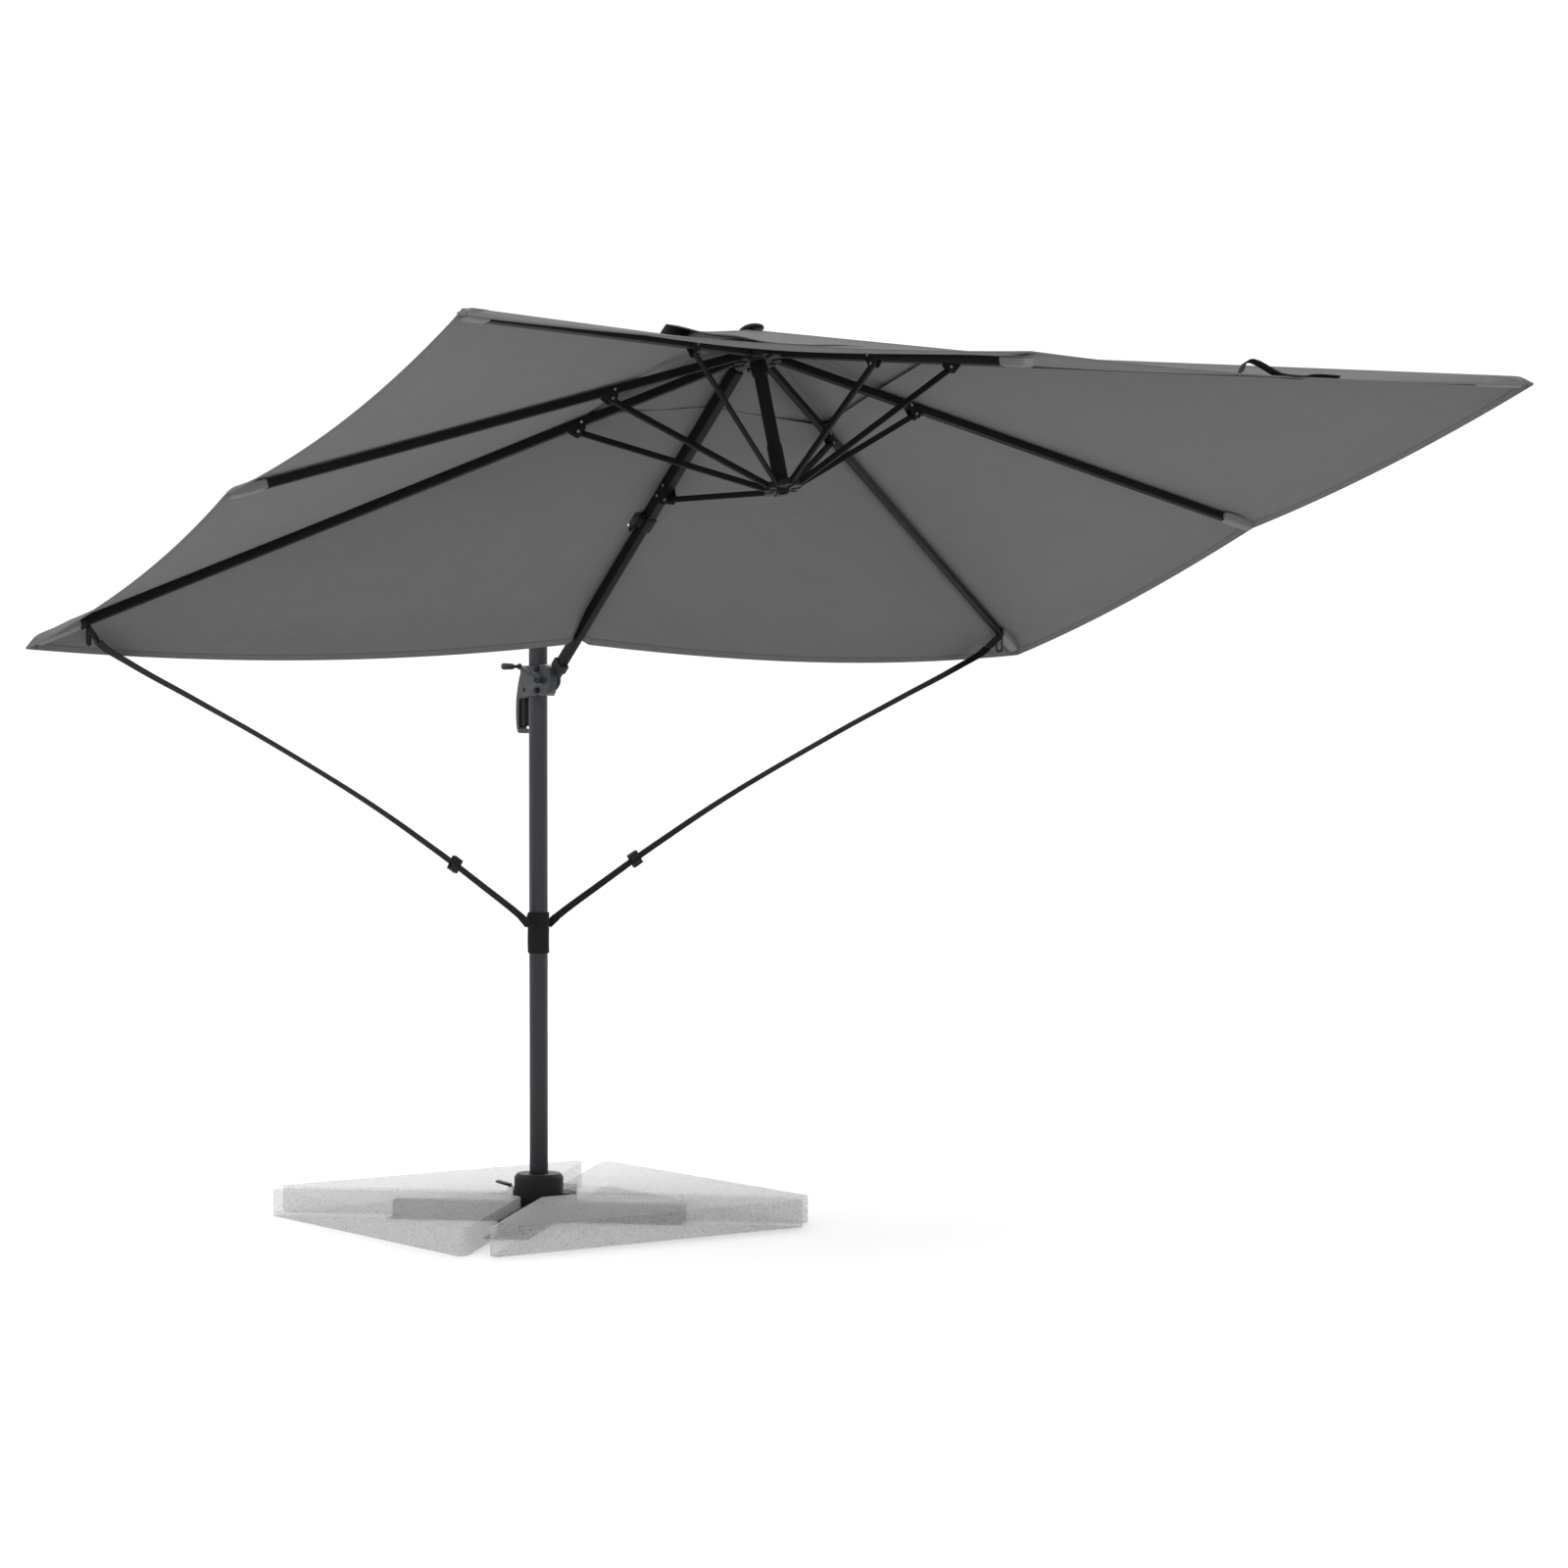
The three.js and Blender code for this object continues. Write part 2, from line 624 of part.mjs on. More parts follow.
function linkBracket() {
  const half = outerTubeWidth / 2 + GAP;
  const top = outerTubeHeight / 2 + GAP;
  const cheek = (y) => box([linkReach - 20, linkReach + 24], [y, y + 2], [-9, top + 1]);
  const strap = box([linkReach - 20, linkReach + 24], [-half - 2, half + 2], [-top - 2, -top]);
  const skirt = (y) => box([linkReach - 20, linkReach + 24], [y, y + 2], [-top - 2, 0]);
  const wingFace = linkSide + linkThickness / 2 + RUNNING;
  const web = box([linkReach - 8, linkReach + 20], [wingFace, -half], [-8, 8]);
  const wing = plate(outline([
    [linkReach - 42, 6],
    [linkReach + 20, -10],
    [linkReach + 24, 12],
    [linkReach + 10, linkRise + 12],
    [linkReach - 10, linkRise + 14],
  ]), [wingFace, wingFace + 3]);
  return join(cheek(-half - 2), cheek(half), skirt(-half - 2), skirt(half), strap, web, wing);
}

function armStrutBracket() {
  const half = outerTubeWidth / 2 + GAP;
  const under = -outerTubeHeight / 2 - GAP;
  const cheekShape = outline([
    [armStrutReach - 28, under - 3],
    [armStrutReach - 8, -armStrutDrop - 9],
    [armStrutReach + 8, -armStrutDrop - 9],
    [armStrutReach + 28, under + 14],
    [armStrutReach + 28, 10],
    [armStrutReach - 28, 10],
  ]);
  const cheek = (y) => plate(cheekShape, [y, y + 2]);
  const strap = box([armStrutReach - 28, armStrutReach - 8], [-half - 2, half + 2], [under - 2, under]);
  return join(cheek(-half - 2), cheek(half), strap);
}

function addArm() {
  const lower = cut(
    bar([socketStart + 6 + GAP, armSplit], armTubeWidth, armTubeHeight),
    bar([0, armSplit + 1], armTubeWidth - 2 * armTubeWall, armTubeHeight - 2 * armTubeWall),
  );
  piece(arm, "arm_knuckle", armKnuckle(), blackPlastic);
  piece(arm, "arm_lower_tube", lower, anthracite);
  piece(arm, "arm_upper_tube", upperTube(), anthracite);
  piece(arm, "link_bracket", linkBracket(), blackPaint);
  piece(arm, "arm_strut_bracket", armStrutBracket(), blackPaint);
  piece(arm, "lift_cord", rod("x", 2, [socketStart + 8, armLength - 60], [0, 0], 8), webbing);
}

function addLink() {
  const top = frameIn(parasol, [pivotX, linkSide, mastPivotZ], { slope: linkAngle });
  const half = linkThickness / 2;
  const blade = box([0, linkLength], [-half, half], [-linkWidth / 2, linkWidth / 2]);
  const end = (x) => rod("y", linkWidth / 2, [-half, half], [x, 0]);
  const head = (x) => rod("y", 5, [-half - 3, -half + 1], [x, 0], 16);
  piece(top, "link_rod", join(blade, end(0), end(linkLength), head(linkLength)), blackPaint);
}

// ---------------------------------------------------------------- hub, pole and runner
const tilt = radians(canopyTilt);
const hubPinWorld = arm.localToWorld(new THREE.Vector3(armLength, 0, 0));
const hub = frameIn(
  parasol,
  [
    hubPinWorld.x - hubPinX * Math.cos(tilt) + hubPinZ * Math.sin(tilt),
    0,
    hubPinWorld.z - hubPinX * Math.sin(tilt) - hubPinZ * Math.cos(tilt),
  ],
  { slope: -tilt },
);

const cornerTurn = Math.atan2(canopyHalfWidth, canopyHalfDepth);
const ribs = [
  { name: "front", turn: 0, reach: frontReach, inset: sideInset },
  { name: "front_left", turn: cornerTurn },
  { name: "left", turn: Math.PI / 2, reach: sideReach, inset: sideInset },
  { name: "rear_left", turn: Math.PI - cornerTurn },
  { name: "rear_right", turn: Math.PI + cornerTurn },
  { name: "right", turn: -Math.PI / 2, reach: sideReach, inset: sideInset },
  { name: "front_right", turn: -cornerTurn },
].map((rib) => {
  const reach = rib.reach ?? Math.hypot(canopyHalfWidth, canopyHalfDepth);
  const slope = Math.atan2(rimDrop - hingeDrop, reach - hingeRadius);
  const length = (reach - hingeRadius) / Math.cos(slope) - (rib.inset ?? cornerInset);
  return { ...rib, reach, slope, length };
});

function topHub() {
  const disc = rod("z", hubRadius, [-hubThickness + 2, 2], [0, 0], 48);
  const lid = rod("z", hubRadius, [2, 2 + hubPlate], [0, 0], 48);
  const slot = (turn, top) => {
    const half = ribWidth / 2 + RUNNING;
    const box_ = box([hingeRadius - 15.5, hubRadius + 5], [-half, half], [-hubThickness, top]);
    return box_.rotateZ(turn);
  };
  const poleSeat = rod("z", poleRadius + GAP, [-hubThickness, -10], [0, 0], 32);
  const pinHole = rod("y", pinRadius + GAP, [-14, 14], [hubPinX, hubPinZ]);
  const slots = ribs.map((rib) => slot(rib.turn, 2));
  return cut(join(disc, lid), ...slots, slot(Math.PI, 20), poleSeat, pinHole);
}

function runnerBody() {
  const low = runnerHeight - runnerThickness / 2;
  const high = runnerHeight + runnerThickness / 2;
  const bore = poleRadius + GAP;
  const disc = ring(bore, runnerRadius, [low, high], 48);
  const neck = ring(bore, bore + neckWall, [high - 1, runnerHeight + runnerNeck]);
  const slot = (turn) => {
    const half = strutWidth / 2 + RUNNING;
    return box([bore + neckWall + 2, runnerRadius + 5], [-half, half], [low - 1, high + 1]).rotateZ(turn);
  };
  return cut(join(disc, neck), ...ribs.map((rib) => slot(rib.turn)), slot(Math.PI));
}

function centrePole() {
  const low = runnerHeight - runnerThickness / 2 - 6;
  const tube = rod("z", poleRadius, [low, -10 - GAP], [0, 0], 32);
  const hollow = rod("z", poleRadius - poleWall, [low - 1, -40], [0, 0], 32);
  const collar = rod("z", poleRadius + 4, [-62, -hubThickness + 2 - GAP], [0, 0], 32);
  return cut(join(tube, collar), hollow);
}

// ---------------------------------------------------------------- ribs and struts
function ribBody(rib) {
  const half = ribWidth / 2;
  const tube = bar([0, rib.length], ribWidth, ribHeight);
  const eye = rod("y", ribHeight / 2, [-half, half], [0, 0], 20);
  const hollow = bar([30, rib.length + 1], ribWidth - 2 * ribWall, ribHeight - 2 * ribWall);
  const cheekShape = outline([
    [bracketReach - 22, -ribHeight / 2 - 2],
    [bracketReach - 8, -bracketDrop - 10],
    [bracketReach + 8, -bracketDrop - 10],
    [bracketReach + 24, -ribHeight / 2 + 2],
    [bracketReach + 24, 5],
    [bracketReach - 22, 5],
  ]);
  const cheek = (y) => plate(cheekShape, [y, y + bracketThickness + 0.4]);
  return join(cut(join(tube, eye), hollow), cheek(half - 0.4), cheek(-half - bracketThickness));
}

function strutBody(length) {
  const half = strutWidth / 2;
  const r = strutPinInset;
  const blade = box([0, length], [-half, half], [-strutHeight / 2, strutHeight / 2]);
  return join(blade, rod("y", r, [-half, half], [0, 0], 16), rod("y", r, [-half, half], [length, 0], 16));
}

function addStrut(name, turn, [pinRadial, pinHeight]) {
  const plane = frameIn(hub, [0, 0, 0], { turn });
  const along = runnerPinRadius - pinRadial;
  const down = pinHeight - runnerHeight;
  const place = frameIn(plane, [pinRadial, 0, pinHeight], { slope: Math.atan2(down, along) });
  piece(place, name, strutBody(Math.hypot(along, down)), blackPaint);
}

const ribFrames = {};

function addRibs() {
  for (const rib of ribs) {
    const plane = frameIn(hub, [0, 0, 0], { turn: rib.turn });
    const hinge = frameIn(plane, [hingeRadius, 0, -hingeDrop], { slope: rib.slope });
    ribFrames[rib.name] = hinge;
    piece(hinge, `rib_${rib.name}`, ribBody(rib), blackPaint);
    const pinRadial = hingeRadius + bracketReach * Math.cos(rib.slope) - bracketDrop * Math.sin(rib.slope);
    const pinHeight = -hingeDrop - bracketReach * Math.sin(rib.slope) - bracketDrop * Math.cos(rib.slope);
    addStrut(`strut_${rib.name}`, rib.turn, [pinRadial, pinHeight]);
  }
  const pin = hub.worldToLocal(arm.localToWorld(new THREE.Vector3(armStrutReach, 0, -armStrutDrop)));
  addStrut("strut_rear", Math.PI, [-pin.x, pin.z]);
}

// ---------------------------------------------------------------- canopy
const armSlope = Math.tan(radians(armAngle - canopyTilt));
const armTopRise = outerTubeHeight / 2 / Math.cos(radians(armAngle - canopyTilt));
const overArm = (x) => hubPinZ + (x - hubPinX) * armSlope + armTopRise + fabricLift;

// The fabric's underside above a rib whose tip is this far out, at one share of the canopy's plan size.
function overRib(reach, share) {
  const slope = Math.atan2(rimDrop - hingeDrop, reach - hingeRadius);
  const axis = -hingeDrop - (reach * share - hingeRadius) * Math.tan(slope);
  return axis + ribHeight / 2 / Math.cos(slope) + fabricLift;
}

// The eight seams of a canopy-shaped sheet, as points at one share of the plan size.
function seamPoints(share, lift = 0) {
  const x = canopyHalfDepth * share;
  const y = canopyHalfWidth * share;
  const corner = overRib(Math.hypot(canopyHalfDepth, canopyHalfWidth), share) + lift;
  const side = overRib(sideReach, share) + lift;
  const rear = -frontReach * share;
  return [
    [frontReach * share, 0, overRib(frontReach, share) + lift], [x, y, corner],
    [0, sideReach * share, side], [-x, y, corner],
    [rear, 0, overArm(rear) + lift], [-x, -y, corner],
    [0, -sideReach * share, side], [x, -y, corner],
  ];
}

// A closed sheet between an inner and an outer ring of eight seam points. Its outer edge curves in between the seams.
function sheet(inner, outer, thickness, scallop, rows, columns) {
  const at = (list, i) => new THREE.Vector3(...list[i % 8]);
  const rim = (seam, s) => {
    const [a, b] = [at(outer, seam), at(outer, seam + 1)];
    const depth = scallop * (a.distanceTo(b) / canopyHalfWidth) * 4 * s * (1 - s);
    const point = a.lerp(b, s);
    return point.sub(point.clone().setZ(0).normalize().multiplyScalar(depth));
  };
  const around = 8 * columns;
  const points = [];
  for (let row = 0; row <= rows; row++)
    for (let i = 0; i < around; i++) {
      const seam = Math.floor(i / columns);
      const s = (i % columns) / columns;
      const start = at(inner, seam).lerp(at(inner, seam + 1), s);
      points.push(start.lerp(rim(seam, s), row / rows));
    }
  const low = points.flatMap((p) => [p.x, p.y, p.z]);
  const high = points.flatMap((p) => [p.x, p.y, p.z + thickness]);
  const faces = [];
  const quad = (a, b, c, d) => faces.push(a, b, c, a, c, d);
  const count = points.length;
  for (let i = 0; i < around; i++) {
    const j = (i + 1) % around;
    for (let row = 0; row < rows; row++) {
      const [a, b, c, d] = [row * around + i, (row + 1) * around + i, (row + 1) * around + j, row * around + j];
      quad(count + a, count + b, count + c, count + d);
      quad(a, d, c, b);
    }
    const [p, q] = [rows * around + i, rows * around + j];
    quad(p, q, count + q, count + p);
    quad(j, i, count + i, count + j);
  }
  const geometry = new THREE.BufferGeometry();
  geometry.setAttribute("position", new THREE.Float32BufferAttribute([...low, ...high], 3));
  geometry.setIndex(faces);
  return geometry;
}

// The slit beside the arm that the link's wing and rod come through.
function linkSlit() {
  const slit = box(
    [linkReach - 75, linkReach + 45],
    [linkSide - 12, linkSide + 14],
    [-10, linkRise + 90],
  );
  slit.applyMatrix4(arm.matrixWorld);
  slit.applyMatrix4(hub.matrixWorld.clone().invert());
  return slit;
}

function addCanopy() {
  const cover = sheet(seamPoints(ventShare), seamPoints(1), fabricThickness, scallopLong, 4, 6);
  const eyeRadius = 8;
  const eye = ribs.map(({ turn }) => [eyeRadius * Math.cos(turn), eyeRadius * Math.sin(turn), capApex]);
  eye.splice(4, 0, [-eyeRadius, 0, capApex]);
  const cap = sheet(eye, seamPoints(capShare, fabricThickness + capLift), 3, scallopShort, 2, 3);
  const top = capApex + 3 + GAP;
  const finial = turned([
    [0, 2 + hubPlate + GAP], [5, 2 + hubPlate + GAP], [5, top], [finialRadius, top],
    [finialRadius, top + 5], [finialRadius - 8, top + 10], [0, top + 10],
  ]);
  piece(hub, "canopy", cut(cover, linkSlit()), canvas);
  piece(hub, "vent_cap", cap, canvas);
  piece(hub, "vent_finial", finial, blackPlastic);
}

function addHub() {
  piece(hub, "top_hub", topHub(), blackPlastic);
  piece(hub, "hub_pin", rod("y", pinRadius, [-13, 13], [hubPinX, hubPinZ]), steel);
  piece(hub, "centre_pole", centrePole(), blackPaint);
  piece(hub, "runner", runnerBody(), blackPlastic);
}

// ---------------------------------------------------------------- storm straps
// Both straps run from the mast's sleeve to a hook under the end of a rear rib. These are the left one's points.
const strapRoute = [
  [4, 42, 777], [12, 92, 812], [25, 184, 871], [38, 276, 930], [51, 368, 986], [64, 460, 1041],
  [77, 552, 1093], [90, 644, 1142], [103, 736, 1189], [116, 828, 1235], [128, 920, 1280],
  [140, 1012, 1323], [152, 1104, 1366], [164, 1196, 1408], [174, 1270, 1444], [181, 1318, 1468],
  [186, 1345, 1488],
];
const buckleAt = 3; // which point of the route the buckle sits on

function addStrap(side, name) {
  const route = strapRoute.map(([x, y, z]) => new THREE.Vector3(x, side * y, z));
  const path = new THREE.CatmullRomCurve3(route);
  const [w, t] = [strapWidth / 2, strapThickness / 2];
  const section = outline([
    [t, w - 2], [t / 2, w], [-t / 2, w], [-t, w - 2], [-t, 2 - w], [-t / 2, -w], [t / 2, -w], [t, 2 - w],
  ]);
  const tape = new THREE.ExtrudeGeometry(section, { steps: 48, bevelEnabled: false, extrudePath: path });
  const before = route[buckleAt - 1];
  const after = route[buckleAt + 1];
  const run = after.clone().sub(before);
  const place = frameIn(parasol, route[buckleAt].toArray(), {
    turn: Math.atan2(run.y, run.x),
    slope: -Math.atan2(run.z, Math.hypot(run.x, run.y)),
  });
  const buckle = cut(
    box([-14, 14], [-7, 7], [-w - 6, w + 6]),
    box([-15, 15], [-t - 1.5, t + 1.5], [-w - 2, w + 2]),
  );
  const rib = ribs.find((each) => each.name === `rear_${name}`);
  const hang = ribFrames[rib.name].localToWorld(
    new THREE.Vector3(rib.length + cornerInset - hookInset, 0, -ribHeight / 2 - 5),
  );
  const loop = stadium(hookWidth, hookLength);
  loop.holes.push(stadium(hookWidth - 9, hookLength - 12));
  const hook = plate(loop, [-2.5, 2.5], 5).translate(0, 0, -hookLength / 2);
  piece(parasol, `strap_${name}`, tape, webbing);
  piece(place, `strap_buckle_${name}`, buckle, blackPlastic);
  piece(frameIn(parasol, hang.toArray(), { turn: side * 0.9 }), `strap_hook_${name}`, hook, blackPlastic);
}

// ---------------------------------------------------------------- the whole parasol
parasol.updateMatrixWorld(true);
addFoot();
addBearing();
addMast();
addCarriage();
addCrank();
addArm();
addLink();
addHub();
addRibs();
addCanopy();
parasol.updateMatrixWorld(true);
addStrap(1, "left");
addStrap(-1, "right");

export default parasol;
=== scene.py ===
# %% [markdown]
# # A cantilever parasol
# A side mast stands on a cross foot. A carriage slides on the mast and carries an arm, and the arm's end carries
# the hub of a rectangular canopy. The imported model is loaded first: it fixes where every piece is, and each piece
# made here is laid over it and rides on one of its bodies.

import json
import math

import bmesh
import bpy
import numpy as np
from mathutils import Matrix, Vector


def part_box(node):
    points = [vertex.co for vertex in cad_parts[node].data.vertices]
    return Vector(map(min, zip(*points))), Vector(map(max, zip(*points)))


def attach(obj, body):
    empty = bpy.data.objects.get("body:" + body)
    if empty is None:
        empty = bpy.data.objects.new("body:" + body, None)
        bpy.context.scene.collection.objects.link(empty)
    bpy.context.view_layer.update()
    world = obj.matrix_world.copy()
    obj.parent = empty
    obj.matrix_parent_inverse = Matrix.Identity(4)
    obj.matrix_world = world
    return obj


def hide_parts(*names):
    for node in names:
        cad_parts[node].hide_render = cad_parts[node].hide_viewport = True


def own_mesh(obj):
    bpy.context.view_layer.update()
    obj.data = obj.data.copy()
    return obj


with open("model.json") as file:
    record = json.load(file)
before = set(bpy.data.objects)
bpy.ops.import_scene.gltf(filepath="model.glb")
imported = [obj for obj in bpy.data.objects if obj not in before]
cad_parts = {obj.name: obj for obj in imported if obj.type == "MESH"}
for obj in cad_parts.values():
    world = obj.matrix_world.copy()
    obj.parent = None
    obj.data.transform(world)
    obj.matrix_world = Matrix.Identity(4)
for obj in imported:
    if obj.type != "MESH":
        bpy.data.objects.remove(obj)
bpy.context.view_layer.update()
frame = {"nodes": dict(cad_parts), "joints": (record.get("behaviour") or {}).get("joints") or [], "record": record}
joints = {joint["name"]: joint for joint in frame["joints"]}

# %% [markdown]
# The camera stands low and in front, so it looks up under the canopy. A long lens keeps the mast upright and the
# perspective gentle. The background is white and the floor is pale, so light comes back up onto the cloth. Two soft
# lamps add some shape.

# %% Camera, floor and light
scene = bpy.context.scene
scene.view_settings.view_transform = "Standard"

LENS_MM = 91.6
EYE = (8.714, -5.583, 1.384)
LOOK_DOWN = math.radians(1.41)
LOOK_X, LOOK_Y = -0.8072, 0.5902  # which way the camera faces, seen from above


def add_object(name, data):
    made = bpy.data.objects.new(name, data)
    scene.collection.objects.link(made)
    return made


camera_data = bpy.data.cameras.new("front_low")
camera_data.sensor_width = 36
camera_data.lens = LENS_MM
camera = add_object("front_low", camera_data)
look = Vector((LOOK_X * math.cos(LOOK_DOWN), LOOK_Y * math.cos(LOOK_DOWN), -math.sin(LOOK_DOWN)))
camera.location = EYE
camera.rotation_euler = look.to_track_quat("-Z", "Y").to_euler()
scene.camera = camera

world = bpy.data.worlds.new("white_studio")
world.use_nodes = True
world.node_tree.nodes["Background"].inputs["Color"].default_value = (1, 1, 1, 1)
world.node_tree.nodes["Background"].inputs["Strength"].default_value = 1.08
scene.world = world


def soft_light(name, place, target, size, power):
    lamp = bpy.data.lights.new(name, "AREA")
    lamp.size = size
    lamp.energy = power
    panel = add_object(name, lamp)
    panel.location = place
    panel.rotation_euler = (Vector(target) - Vector(place)).to_track_quat("-Z", "Y").to_euler()


soft_light("key", place=(4.0, -5.0, 8.0), target=(0.8, 0, 1.8), size=4.0, power=400)
soft_light("fill", place=(-5.0, 5.0, 5.0), target=(0.6, 0, 1.8), size=5.0, power=260)
print("camera at", tuple(camera.location))

# %% [markdown]
# Everything is modelled with the operators a person would use. An operator works on whatever is selected, so each
# step starts from an empty selection. A finished piece keeps its place in its mesh, with its object at the origin.

# %% Working habits
def deselect():
    if bpy.context.object and bpy.context.object.mode != "OBJECT":
        bpy.ops.object.mode_set(mode="OBJECT")
    bpy.ops.object.select_all(action="DESELECT")


def take_up(piece):
    deselect()
    piece.select_set(True)
    bpy.context.view_layer.objects.active = piece


def apply_place(piece):
    take_up(piece)
    bpy.ops.object.transform_apply(location=True, rotation=True, scale=True)


def edit_all(piece):
    take_up(piece)
    bpy.ops.object.mode_set(mode="EDIT")
    bpy.ops.mesh.select_all(action="SELECT")


def leave_edit():
    bpy.ops.object.mode_set(mode="OBJECT")


def press_modifier(piece, kind, **settings):
    take_up(piece)
    modifier = piece.modifiers.new(kind.title(), kind)
    for key, value in settings.items():
        setattr(modifier, key, value)
    bpy.ops.object.modifier_apply(modifier=modifier.name)


def smooth(piece, degrees):
    take_up(piece)
    bpy.ops.object.shade_smooth_by_angle(angle=math.radians(degrees))


def select_faces(piece, wanted):
    bpy.ops.object.mode_set(mode="EDIT")
    mesh = bmesh.from_edit_mesh(piece.data)
    for face in mesh.faces:
        face.select_set(wanted(face))
    bmesh.update_edit_mesh(piece.data)


def finish_piece(piece, body, material):
    piece.data.materials.clear()
    piece.data.materials.append(material)
    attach(piece, body)
    return piece


def join_up(pieces, name):
    deselect()
    for each in pieces:
        each.select_set(True)
    bpy.context.view_layer.objects.active = pieces[0]
    if len(pieces) > 1:
        bpy.ops.object.join()
    joined = bpy.context.object
    joined.name = name
    joined.data.name = name
    return joined


# %% [markdown]
# The floor reaches far past the view, so its edge is never seen. It lies half a millimetre under the foot, because
# two faces at one height would show through each other.

# %% Studio floor
bpy.ops.mesh.primitive_plane_add(size=600, location=(0, 0, -0.0005))
floor = bpy.context.object
floor.name = "studio_floor"
floor_paint = bpy.data.materials.new("studio_floor")
floor_paint.use_nodes = True
floor_shader = floor_paint.node_tree.nodes["Principled BSDF"]
floor_shader.inputs["Base Color"].default_value = (0.97, 0.97, 0.97, 1)
floor_shader.inputs["Roughness"].default_value = 0.95
floor.data.materials.append(floor_paint)
print("floor laid")

# %% [markdown]
# ## Finishes
# A shader node group is a small tool that several finishes share. Each one here answers one question about a point
# on the surface: how the grain rises, how worn an edge is, how the threads cross. The material decides what to do
# with the answer.

# %% A maker of node groups
def new_group(name, inputs, outputs):
    group = bpy.data.node_groups.new(name, "ShaderNodeTree")
    for label, kind, value in inputs:
        socket = group.interface.new_socket(name=label, in_out="INPUT", socket_type=kind)
        if value is not None:
            socket.default_value = value
    for label, kind in outputs:
        group.interface.new_socket(name=label, in_out="OUTPUT", socket_type=kind)
    return group, group.nodes.new("NodeGroupInput"), group.nodes.new("NodeGroupOutput")


def plug(tree, value, socket):
    """Links an output to a socket, or sets a plain number or colour on it."""
    if isinstance(value, (int, float)):
        socket.default_value = value
    elif isinstance(value, tuple):
        socket.default_value = (*value, 1.0)
    else:
        tree.links.new(value, socket)


def math_node(tree, operation, a, b=None, clamp=False):
    node = tree.nodes.new("ShaderNodeMath")
    node.operation = operation
    node.use_clamp = clamp
    plug(tree, a, node.inputs[0])
    if b is not None:
        plug(tree, b, node.inputs[1])
    return node.outputs[0]


def noise_node(tree, vector, scale, detail=3.0, roughness=0.5):
    node = tree.nodes.new("ShaderNodeTexNoise")
    node.inputs["Detail"].default_value = detail
    node.inputs["Roughness"].default_value = roughness
    plug(tree, scale, node.inputs["Scale"])
    tree.links.new(vector, node.inputs["Vector"])
    return node.outputs["Fac"]


# %% [markdown]
# Powder coat and moulded plastic both have a fine pebbled skin. A group called Fine grain gives its height and a slow
# change of tone, so that a large surface isn't one flat value. Edge wear marks where a corner has rubbed bare, and
# Settled dust marks what faces up.

# %% Fine grain, edge wear and dust
SCALAR = "NodeSocketFloat"
VECTOR = "NodeSocketVector"

fine_grain, grain_in, grain_out = new_group(
    "Fine grain",
    [("Vector", VECTOR, None), ("Grain size", SCALAR, 0.002), ("Tone change", SCALAR, 0.15)],
    [("Height", SCALAR), ("Tone", SCALAR)],
)
pebble = noise_node(
    fine_grain, grain_in.outputs["Vector"], math_node(fine_grain, "DIVIDE", 1.0, grain_in.outputs["Grain size"])
)
cloud = noise_node(fine_grain, grain_in.outputs["Vector"], 6.0, 4.0, 0.6)
centred = math_node(fine_grain, "SUBTRACT", cloud, 0.5)
tone = math_node(fine_grain, "MULTIPLY", centred, grain_in.outputs["Tone change"])
tone = math_node(fine_grain, "ADD", tone, 1.0)
fine_grain.links.new(pebble, grain_out.inputs["Height"])
fine_grain.links.new(tone, grain_out.inputs["Tone"])

edge_wear, wear_in, wear_out = new_group(
    "Edge wear",
    [("Vector", VECTOR, None), ("Amount", SCALAR, 0.5)],
    [("Mask", SCALAR)],
)
geometry = edge_wear.nodes.new("ShaderNodeNewGeometry")
ridge = math_node(edge_wear, "SUBTRACT", geometry.outputs["Pointiness"], 0.52)
ridge = math_node(edge_wear, "MULTIPLY", ridge, 14.0, clamp=True)
breaks = noise_node(edge_wear, wear_in.outputs["Vector"], 90.0, 5.0, 0.7)
breaks = math_node(edge_wear, "SUBTRACT", breaks, 0.42)
breaks = math_node(edge_wear, "MULTIPLY", breaks, 4.0, clamp=True)
worn = math_node(edge_wear, "MULTIPLY", ridge, breaks)
worn = math_node(edge_wear, "MULTIPLY", worn, wear_in.outputs["Amount"], clamp=True)
edge_wear.links.new(worn, wear_out.inputs["Mask"])

settled_dust, dust_in, dust_out = new_group(
    "Settled dust",
    [("Vector", VECTOR, None), ("Amount", SCALAR, 0.3)],
    [("Mask", SCALAR)],
)
facing = settled_dust.nodes.new("ShaderNodeNewGeometry")
apart = settled_dust.nodes.new("ShaderNodeSeparateXYZ")
settled_dust.links.new(facing.outputs["Normal"], apart.inputs[0])
upward = math_node(settled_dust, "MULTIPLY", apart.outputs["Z"], 1.0, clamp=True)
drift = noise_node(settled_dust, dust_in.outputs["Vector"], 25.0, 5.0, 0.6)
dust = math_node(settled_dust, "MULTIPLY", upward, drift)
dust = math_node(settled_dust, "MULTIPLY", dust, dust_in.outputs["Amount"], clamp=True)
settled_dust.links.new(dust, dust_out.inputs["Mask"])
print("groups:", fine_grain.name, edge_wear.name, settled_dust.name)

# %% [markdown]
# Cloth is two sets of threads that pass over and under each other. Two waves at right angles, one for each set, give
# the height. The same group dulls and lightens single threads a little, which is what keeps grey cloth alive.

